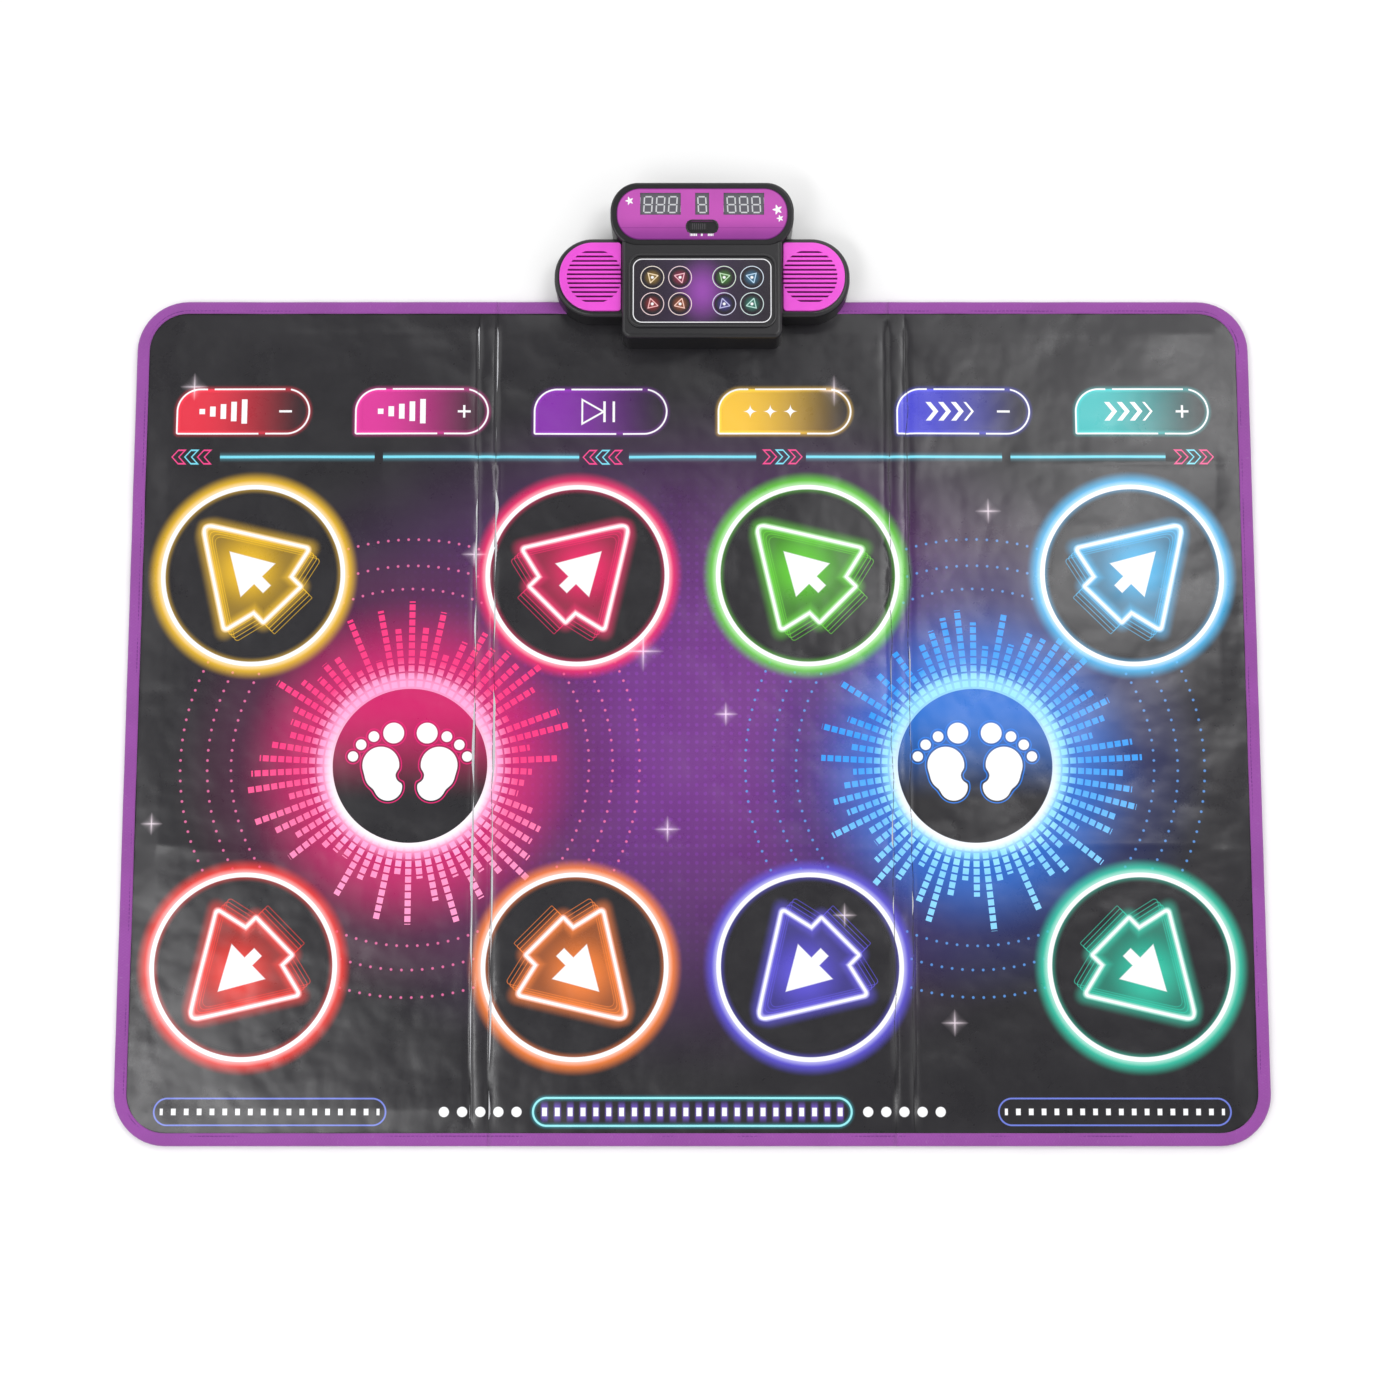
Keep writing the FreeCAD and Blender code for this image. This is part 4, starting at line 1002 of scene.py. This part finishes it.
def build_stitches(panel):
    """Row of thread stitches along the tape's inner edge."""
    pitch, long, wide, tall = 3.8 * MM, 2.9 * MM, 0.32 * MM, 0.22 * MM
    points, faces, places = [], [], []
    ring = [(-0.5, 0.0), (-0.36, 1.0), (0.36, 1.0), (0.5, 0.0)]
    for line in tape_path(panel):
        travelled, due = 0.0, pitch
        for start, end in zip(line, line[1:]):
            start, end = Vector(start), Vector(end)
            run = end - start
            while travelled + run.length > due:
                at = start + run * ((due - travelled) / run.length)
                ahead = run.normalized()
                inward = Vector((-ahead.y, ahead.x))
                at = at + inward * (TAPE_WIDTH - 2.6 * MM)
                level = FILM_TOP + 0.88 * MM + max(tape_swell(at.x, at.y), -0.0002)
                first = len(points)
                for share, height in ring:
                    for side in (-1, 0, 1):
                        spot = at + ahead * (share * long) + inward * (side * wide * (0.6 + 0.4 * height))
                        crown = tall * height * (1.0 if side == 0 else 0.45)
                        points.append((spot.x, spot.y, level + crown - 0.05 * MM))
                        places.append((spot.x / PRINT_SPAN + 0.5, spot.y / PRINT_SPAN + 0.5))
                for row in range(3):
                    for side in range(2):
                        a = first + row * 3 + side
                        faces.append((a, a + 1, a + 4, a + 3))
                faces.append(tuple(first + corner for corner in (0, 3, 6, 9, 11, 8, 5, 2)))
                faces.append((first, first + 2, first + 1))
                faces.append((first + 9, first + 10, first + 11))
                due += pitch
            travelled += run.length
    stitches = mesh_piece(f"tape_stitching_{panel}", points, faces, places, THREAD)
    bend_with_panel(stitches, panel)
    return stitches


def build_backing(panel):
    """Non-slip cloth under the mat."""
    outline = densify(panel_outline(panel, TAPE_WIDTH + 0.3 * MM), BACKING_STEP)
    rings = [outline]
    if panel == "centre":
        low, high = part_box("clamp_plate")
        gap = 0.3 * MM
        rings.append([(low[0] - gap, low[1] - gap), (high[0] + gap, low[1] - gap),
                      (high[0] + gap, high[1] + gap), (low[0] - gap, high[1] + gap)])
    points, triangles = triangulate(rings, panel, BACKING_STEP)
    found = sort_triangles(points, triangles, rings)
    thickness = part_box("cloth_centre")[1][2]
    cloth = closed_sheet(f"backing_{panel}", points, found[0], lambda x, y: thickness, thickness, BACKING,
                         "cloth_place")
    bend_with_panel(cloth, panel)
    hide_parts(f"cloth_{panel}")
    low, high = np.array(outline).min(0), np.array(outline).max(0)


def build_mat():
    for panel in PANELS:
        sheet, flat, area = build_film(panel)
        tape = build_tape(panel)
        stitches = build_stitches(panel)
        build_backing(panel)


# ---------------------------------------------------------------- console materials

TILT = math.radians(14)
PANEL_MIDDLE = middle("display_panel")
PANEL_LIFT = 0.6 * MM
SWITCH_ROW = -11.5 * MM
RIDGE_PITCH = 1.9 * MM
LABEL_MIDDLE = middle("lamp_label")


def face_place(tree, place, centre, slanting):
    """Millimetres across and up a face of the console, from its middle."""
    split = tree.nodes.new("ShaderNodeSeparateXYZ")
    tree.links.new(place, split.inputs[0])
    x = (Field(tree, split.outputs["X"]) - centre.x) / MM
    y = (Field(tree, split.outputs["Y"]) - centre.y) / MM
    return x, y / math.cos(TILT) if slanting else y


def star_distance(x, y, size, turn):
    """Five-pointed star by its angle and reach."""
    angle = (x.angle(y) + turn) * (5 / math.tau)
    beam = abs(angle.part() - 0.5) * 2
    return length(x, y) - size * 0.42 - beam.power(1.5) * size * 0.58


def panel_print(tree, place, inks):
    """Orchid display panel: slow shading, small white stars and three marks under the switch."""
    x, y = face_place(tree, place, PANEL_MIDDLE, True)
    inks.lay("MULTIPLY", (0.5, 0.42, 0.62, 1), y.fade(-2, -23) * 0.9)
    inks.lay("MULTIPLY", (0.45, 0.3, 0.5, 1), (y + 12.6).line(0.2, 0.25) * 0.8)
    edge = box_distance(x, y, 80, 23.5, 22)
    inks.ink(srgb(84, 18, 92), edge.fade(-1.4, -0.3) * 0.8)
    for star_x, star_y, size in ((-68, 12, 4.0), (70.5, 4, 4.8), (73, -4, 3.4)):
        inks.ink(WHITE, star_distance(x - star_x, y - star_y, size, 0.3).inside(0.25))
    mark_y = y + 19
    marks = (abs(x + 8) - 3.4).least(abs(x + 0.3) - 0.8).least(abs(x - 8) - 2.6).most(abs(mark_y) - 1.1)
    inks.ink(WHITE, marks.inside(0.3) * (1 - (x / 1.6).part().below(0.25) * abs(x).above(3)))


def digit_print(tree, place, inks):
    """Unlit seven-segment digits behind the grey windows."""
    x, y = face_place(tree, place, PANEL_MIDDLE, True)
    wide = abs(x).above(19)
    cell_x = ((abs(x) - 39) / 11.6 + 0.5).part() * 11.6 - 5.8
    cell_x = cell_x * wide + x * (1 - wide)
    cell_y = y - 9.0
    aside = abs(cell_x + cell_y * 0.06)
    height = abs(cell_y)
    bars = (height - 7.2).line(0.62, 0.2).most(height.line(0.62, 0.2)) * aside.fade(3.1, 2.7)
    posts = (aside - 3.7).line(0.62, 0.2) * (height - 3.6).line(3.0, 0.2)
    inks.lay("MULTIPLY", (0.6, 0.6, 0.62, 1), ((cell_x / 1.4).part().below(0.5)) * 0.12)
    inks.ink(srgb(205, 207, 210), bars.most(posts))


def lamp_places(x, y):
    """Place in the nearest lamp's own frame, the way its arrow points, and its colour."""
    side = x.sign()
    outer = (abs(x) - 33.5).sign()
    rear = y.sign()
    across = x - side * (outer * 12.95 + 33.55)
    along = y - rear * 12.75
    number = side * (outer * 0.5 + 1.0) + 1.5 + (1 - rear) * 2
    return across, along, (side * outer, rear), number.choose([NEON[colour] for colour in PAD_COLOURS])


def label_print(tree, place, inks):
    """Lamp label: a thin white frame, a purple light in the middle, and rings around the lamps."""
    x, y = face_place(tree, place, LABEL_MIDDLE, False)
    edge = box_distance(x, y, 64.3, 30.3, 8.3)
    across, along, _, neon = lamp_places(x, y)
    pale = Inks(tree, neon)
    pale.ink(WHITE, 0.75)
    inks.glow(srgb(175, 75, 200), length(x * 1.2, y * 0.9).fade(34, 0) * 0.55)
    inks.glow(srgb(90, 50, 120), x.fade(70, 0) * x.fade(-70, 0) * 0.15)
    inks.ink(pale.colour, (length(across, along) - 10.7).line(0.32, 0.2))
    inks.ink(WHITE, edge.line(0.4, 0.25))


def lamp_print(tree, place, inks):
    """Eight lamp windows, each with a small arrow in its pad's colour."""
    x, y = face_place(tree, place, LABEL_MIDDLE, False)
    across, along, point, neon = lamp_places(x, y)
    ahead = (across * point[0] + along * point[1]) * (DIAGONAL / 7.4)
    aside = abs(across * point[0] - along * point[1]) * (DIAGONAL / 7.4)
    inks.glow(neon, length(across, along).fade(9, 2) * 0.22)
    edge = rounded_meet(0.1, (ahead - 0.76) * 0.528 + aside * 0.849, -ahead - 0.34)
    pale = Inks(tree, neon)
    pale.ink(WHITE, 0.5)
    inks.ink(pale.colour, edge.line(0.06, 0.04))
    inks.ink(WHITE, length(ahead, aside).fade(0.26, 0.1))


def circuit_board_print(tree, place, inks):
    """Copper tracks under green solder mask."""
    _, y = face_place(tree, place, LABEL_MIDDLE, False)
    tracks = abs((y / 2.6).part() - 0.5).fade(0.18, 0.12) * noise_field(tree, place, 60).above(0.5)
    inks.lay("MIX", srgb(60, 140, 70), tracks * 0.7)


def brushed_metal(name, colour, roughness):
    material, tree, shader = new_material(name, roughness, Metallic=1.0)
    place = object_place(tree)
    mapping = tree.nodes.new("ShaderNodeMapping")
    mapping.inputs["Scale"].default_value = (1, 1, 22)
    tree.links.new(place, mapping.inputs["Vector"])
    scratch = noise_field(tree, mapping.outputs["Vector"], 300, 3.0)
    inks = Inks(tree, colour)
    inks.lay("MULTIPLY", (0.6, 0.6, 0.62, 1), scratch.fade(0.4, 0.7) * 0.5)
    tree.links.new(inks.colour, shader.inputs["Base Color"])
    tree.links.new((scratch * 0.25 + roughness - 0.1).socket, shader.inputs["Roughness"])
    bump(tree, shader, scratch, 0.00003)
    return material


def cell_sleeve(tree, place, inks):
    """Plain dry cells: a dark sleeve with one pale end band."""
    x, _ = face_place(tree, place, middle("batteries"), False)
    inks.ink(srgb(190, 160, 70), x.fade(9, 10))


def dress_nodes():
    """Finish for each carried-over node of the console and the mat's inner layers."""
    black = moulded_plastic("satin_black_case", srgb(27, 26, 29), 0.34, 0.35)
    finishes = {
        black: ("console_base", "console_top", "pod_shell", "battery_door", "clamp_plate"),
        moulded_plastic("orchid_panel", srgb(190, 84, 178), 0.2, 0.05, decorate=panel_print, Coat_Weight=0.6):
            ("display_panel",),
        moulded_plastic("grey_window", srgb(98, 97, 104), 0.16, 0.02, decorate=digit_print, Coat_Weight=0.8):
            ("display_lens",),
        moulded_plastic("digit_block", srgb(120, 120, 124), 0.4, 0.1): ("digit_modules",),
        moulded_plastic("solder_mask", srgb(22, 92, 48), 0.3, 0.1, decorate=circuit_board_print):
            ("display_board", "lamp_board", "main_board"),
        moulded_plastic("switch_black", srgb(24, 23, 25), 0.42, 0.6): ("switch_body", "switch_knob"),
        moulded_plastic("magenta_plastic", srgb(230, 76, 210), 0.24, 0.12, Coat_Weight=0.3):
            ("speaker_cap_left", "speaker_cap_right"),
        # The speaker cones are real parts, but their dark magenta is painted shade: it stands in for the
        # shaded floors of the caps' shallow slots.
        moulded_plastic("paper_cone", srgb(96, 20, 88), 0.7, 0.9, 0.0002): ("speaker_left", "speaker_right"),
        moulded_plastic("label_film", srgb(34, 28, 38), 0.2, 0.04, decorate=label_print, Coat_Weight=0.5):
            ("lamp_label",),
        moulded_plastic("lamp_window", srgb(36, 32, 38), 0.14, 0.02, decorate=lamp_print, Coat_Weight=0.8):
            ("lamp_lenses",),
        moulded_plastic("cell_sleeve", srgb(36, 38, 44), 0.3, 0.05, decorate=cell_sleeve): ("batteries",),
        moulded_plastic("foot_rubber", srgb(30, 30, 31), 0.75, 1.0, 0.0001): ("rubber_feet",),
        moulded_plastic("socket_nylon", srgb(222, 216, 198), 0.4, 0.1): ("tail_socket",),
        moulded_plastic("circuit_film", srgb(150, 152, 150), 0.25, 0.05):
            ("mat_tail", *[f"circuit_film_{panel}" for panel in PANELS]),
        moulded_plastic("white_foam", srgb(196, 196, 200), 0.85, 1.6, 0.0006):
            (*[f"foam_{panel}" for panel in PANELS], *[f"spacer_{panel}" for panel in PANELS]),
        brushed_metal("zinc_steel", (0.6, 0.6, 0.62, 1), 0.32):
            ("board_screws", "door_screw", "case_screws", "clamp_screws"),
        brushed_metal("spring_contact", (0.66, 0.65, 0.6, 1), 0.25): ("battery_contacts",),
    }
    for material, nodes in finishes.items():
        for node in nodes:
            for slot in frame["nodes"][node].material_slots:
                slot.material = material
    return black


# ---------------------------------------------------------------- modelled details of the console

def start_block(name, size):
    """New block, centred at the origin and open in edit mode."""
    for thing in bpy.context.selected_objects:
        thing.select_set(False)
    bpy.ops.mesh.primitive_cube_add(size=1)
    piece = bpy.context.object
    piece.name = name
    bpy.ops.object.mode_set(mode="EDIT")
    bpy.ops.mesh.select_all(action="SELECT")
    bpy.ops.transform.resize(value=size, center_override=(0, 0, 0))
    return piece


def pick(piece, kind, wanted):
    """Select the edges or faces that a test chooses."""
    bpy.ops.mesh.select_all(action="DESELECT")
    bpy.ops.mesh.select_mode(type=kind)
    mesh = bmesh.from_edit_mesh(piece.data)
    parts = mesh.edges if kind == "EDGE" else mesh.faces
    for part in parts:
        part.select_set(bool(wanted(part)))
    bmesh.update_edit_mesh(piece.data)


def upright(edge):
    start, end = (corner.co for corner in edge.verts)
    return abs(start.z - end.z) > 1e-5 and (start - end).xy.length < 1e-6


def highest(face):
    return face.normal.z > 0.9


def close_block(piece, material, place, tilt, body):
    """Leave edit mode, put the block in its place and let it ride."""
    bpy.ops.mesh.select_all(action="SELECT")
    bpy.ops.mesh.normals_make_consistent(inside=False)
    bpy.ops.object.mode_set(mode="OBJECT")
    piece.rotation_euler = (tilt, 0, 0)
    piece.location = place
    bpy.ops.object.transform_apply(location=True, rotation=True, scale=True)
    bpy.ops.object.shade_smooth_by_angle(angle=math.radians(35))
    piece.data.materials.append(material)
    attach(piece, body)
    return piece


def tray(name, size, corner, border, depth, material, place, tilt):
    """Flat tray with a rounded outline and a raised border."""
    piece = start_block(name, size)
    pick(piece, "EDGE", upright)
    bpy.ops.mesh.bevel(offset=corner, segments=10, affect="EDGES")
    pick(piece, "FACE", highest)
    bpy.ops.mesh.inset(thickness=border, depth=0)
    bpy.ops.mesh.extrude_region_move(TRANSFORM_OT_translate={"value": (0, 0, -depth)})
    pick(piece, "EDGE", lambda edge: min(corner.co.z for corner in edge.verts) > size[2] / 2 - 1e-6
         and len({round(face.normal.z) for face in edge.link_faces}) == 2)
    bpy.ops.mesh.bevel(offset=border * 0.28, segments=2, affect="EDGES")
    return close_block(piece, material, place, tilt, "root")


def on_panel(across, up, height):
    """Place on the slanting display face, from its middle."""
    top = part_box("display_panel")
    level = (top[0][2] + top[1][2]) / 2 + PANEL_LIFT
    slope, rise = math.cos(TILT), math.sin(TILT)
    return Vector((PANEL_MIDDLE.x + across, PANEL_MIDDLE.y, level)) + \
        Vector((0, slope * up - rise * height, rise * up + slope * height))


def build_details(black):
    """Raised frame around the lamp label, tray of the switch, and a ridged knob."""
    label_low, label_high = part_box("lamp_label")
    width, depth = label_high[0] - label_low[0], label_high[1] - label_low[1]
    rim = tray("label_rim", (width + 9 * MM, depth + 9 * MM, 2.2 * MM), 12 * MM, 2.4 * MM, 1.5 * MM, black,
               (LABEL_MIDDLE.x, LABEL_MIDDLE.y, label_low[2] + 0.5 * MM), 0)
    bezel = tray("switch_tray", (31 * MM, 13 * MM, 1.6 * MM), 6.3 * MM, 1.5 * MM, 1.35 * MM, black,
                 on_panel(0, SWITCH_ROW, -0.45 * MM), TILT)
    knob_x = middle("switch_knob").x - PANEL_MIDDLE.x
    grey = moulded_plastic("switch_ridges", srgb(66, 64, 68), 0.4, 0.4)
    for place in range(-3, 4):
        piece = start_block(f"knob_ridge_{place + 4}", (0.9 * MM, 5.4 * MM, 1.1 * MM))
        pick(piece, "EDGE", lambda edge: min(corner.co.z for corner in edge.verts) > 0)
        bpy.ops.mesh.bevel(offset=0.25 * MM, segments=2, affect="EDGES")
        close_block(piece, grey, on_panel(knob_x + place * RIDGE_PITCH, SWITCH_ROW, 0.1 * MM), TILT,
                    "switch_knob")


# ---------------------------------------------------------------- floor, lights and camera

def build_stage():
    reach = 40
    floor_mesh = bpy.data.meshes.new("studio_floor")
    corners = [(-reach, -reach, 0), (reach, -reach, 0), (reach, reach, 0), (-reach, reach, 0)]
    floor_mesh.from_pydata(corners, [], [(0, 1, 2, 3)])
    floor = bpy.data.objects.new("studio_floor", floor_mesh)
    bpy.context.scene.collection.objects.link(floor)
    material, _, shader = new_material("pale_floor", 0.9)
    shader.inputs["Base Color"].default_value = (0.9, 0.9, 0.9, 1)
    floor_mesh.materials.append(material)


def aim(name, light, place, target):
    lamp = bpy.data.objects.new(name, light)
    lamp.location = place
    lamp.rotation_euler = (Vector(target) - Vector(place)).to_track_quat("-Z", "Y").to_euler()
    bpy.context.scene.collection.objects.link(lamp)


def area_light(name, place, target, size, power):
    light = bpy.data.lights.new(name, "AREA")
    light.shape = "RECTANGLE"
    light.size, light.size_y = size
    light.energy = power
    aim(name, light, place, target)


def build_light():
    """Pale surroundings, brighter at the sides than overhead, and soft boxes."""
    world = bpy.data.worlds.new("studio")
    world.use_nodes = True
    tree = world.node_tree
    up = tree.nodes.new("ShaderNodeSeparateXYZ")
    tree.links.new(tree.nodes.new("ShaderNodeTexCoord").outputs["Generated"], up.inputs[0])
    level = Field(tree, up.outputs["Z"]).fade(0.95, 0.35) * 0.68 + 0.2
    tree.links.new(level.socket, tree.nodes["Background"].inputs["Strength"])
    tree.nodes["Background"].inputs["Color"].default_value = (1, 1, 1, 1)
    bpy.context.scene.world = world
    for name, place, strength in (("rear_sun", (0.3, 1.0, 1.1), 0.75), ("left_sun", (-1.0, 0.1, 1.0), 0.6),
                                  ("right_sun", (1.0, -0.4, 1.0), 0.4)):
        light = bpy.data.lights.new(name, "SUN")
        light.energy = strength
        light.angle = math.radians(50)
        aim(name, light, place, (0, 0, 0))
    area_light("front_softbox", (-1.0, -0.85, 2.1), (-0.3, -0.3, 0), (1.3, 0.45), 14)
    area_light("upper_softbox", (0.95, 0.6, 2.2), (0.3, 0.1, 0), (0.5, 1.1), 11)
    bpy.context.scene.view_settings.view_transform = "Standard"


def build_camera():
    elevation, distance = math.radians(83.5), 1.9
    target = Vector((0.007, -0.036, 0))
    camera = bpy.data.cameras.new("camera")
    camera.lens = 52.3
    camera.sensor_width = 36
    camera.clip_end = 50
    eye = bpy.data.objects.new("camera", camera)
    eye.location = target + Vector((0, -math.cos(elevation), math.sin(elevation))) * distance
    eye.rotation_euler = (math.pi / 2 - elevation, 0, 0)
    bpy.context.scene.collection.objects.link(eye)
    bpy.context.scene.camera = eye


build_camera()
build_light()
build_stage()
build_mat()
build_details(dress_nodes())
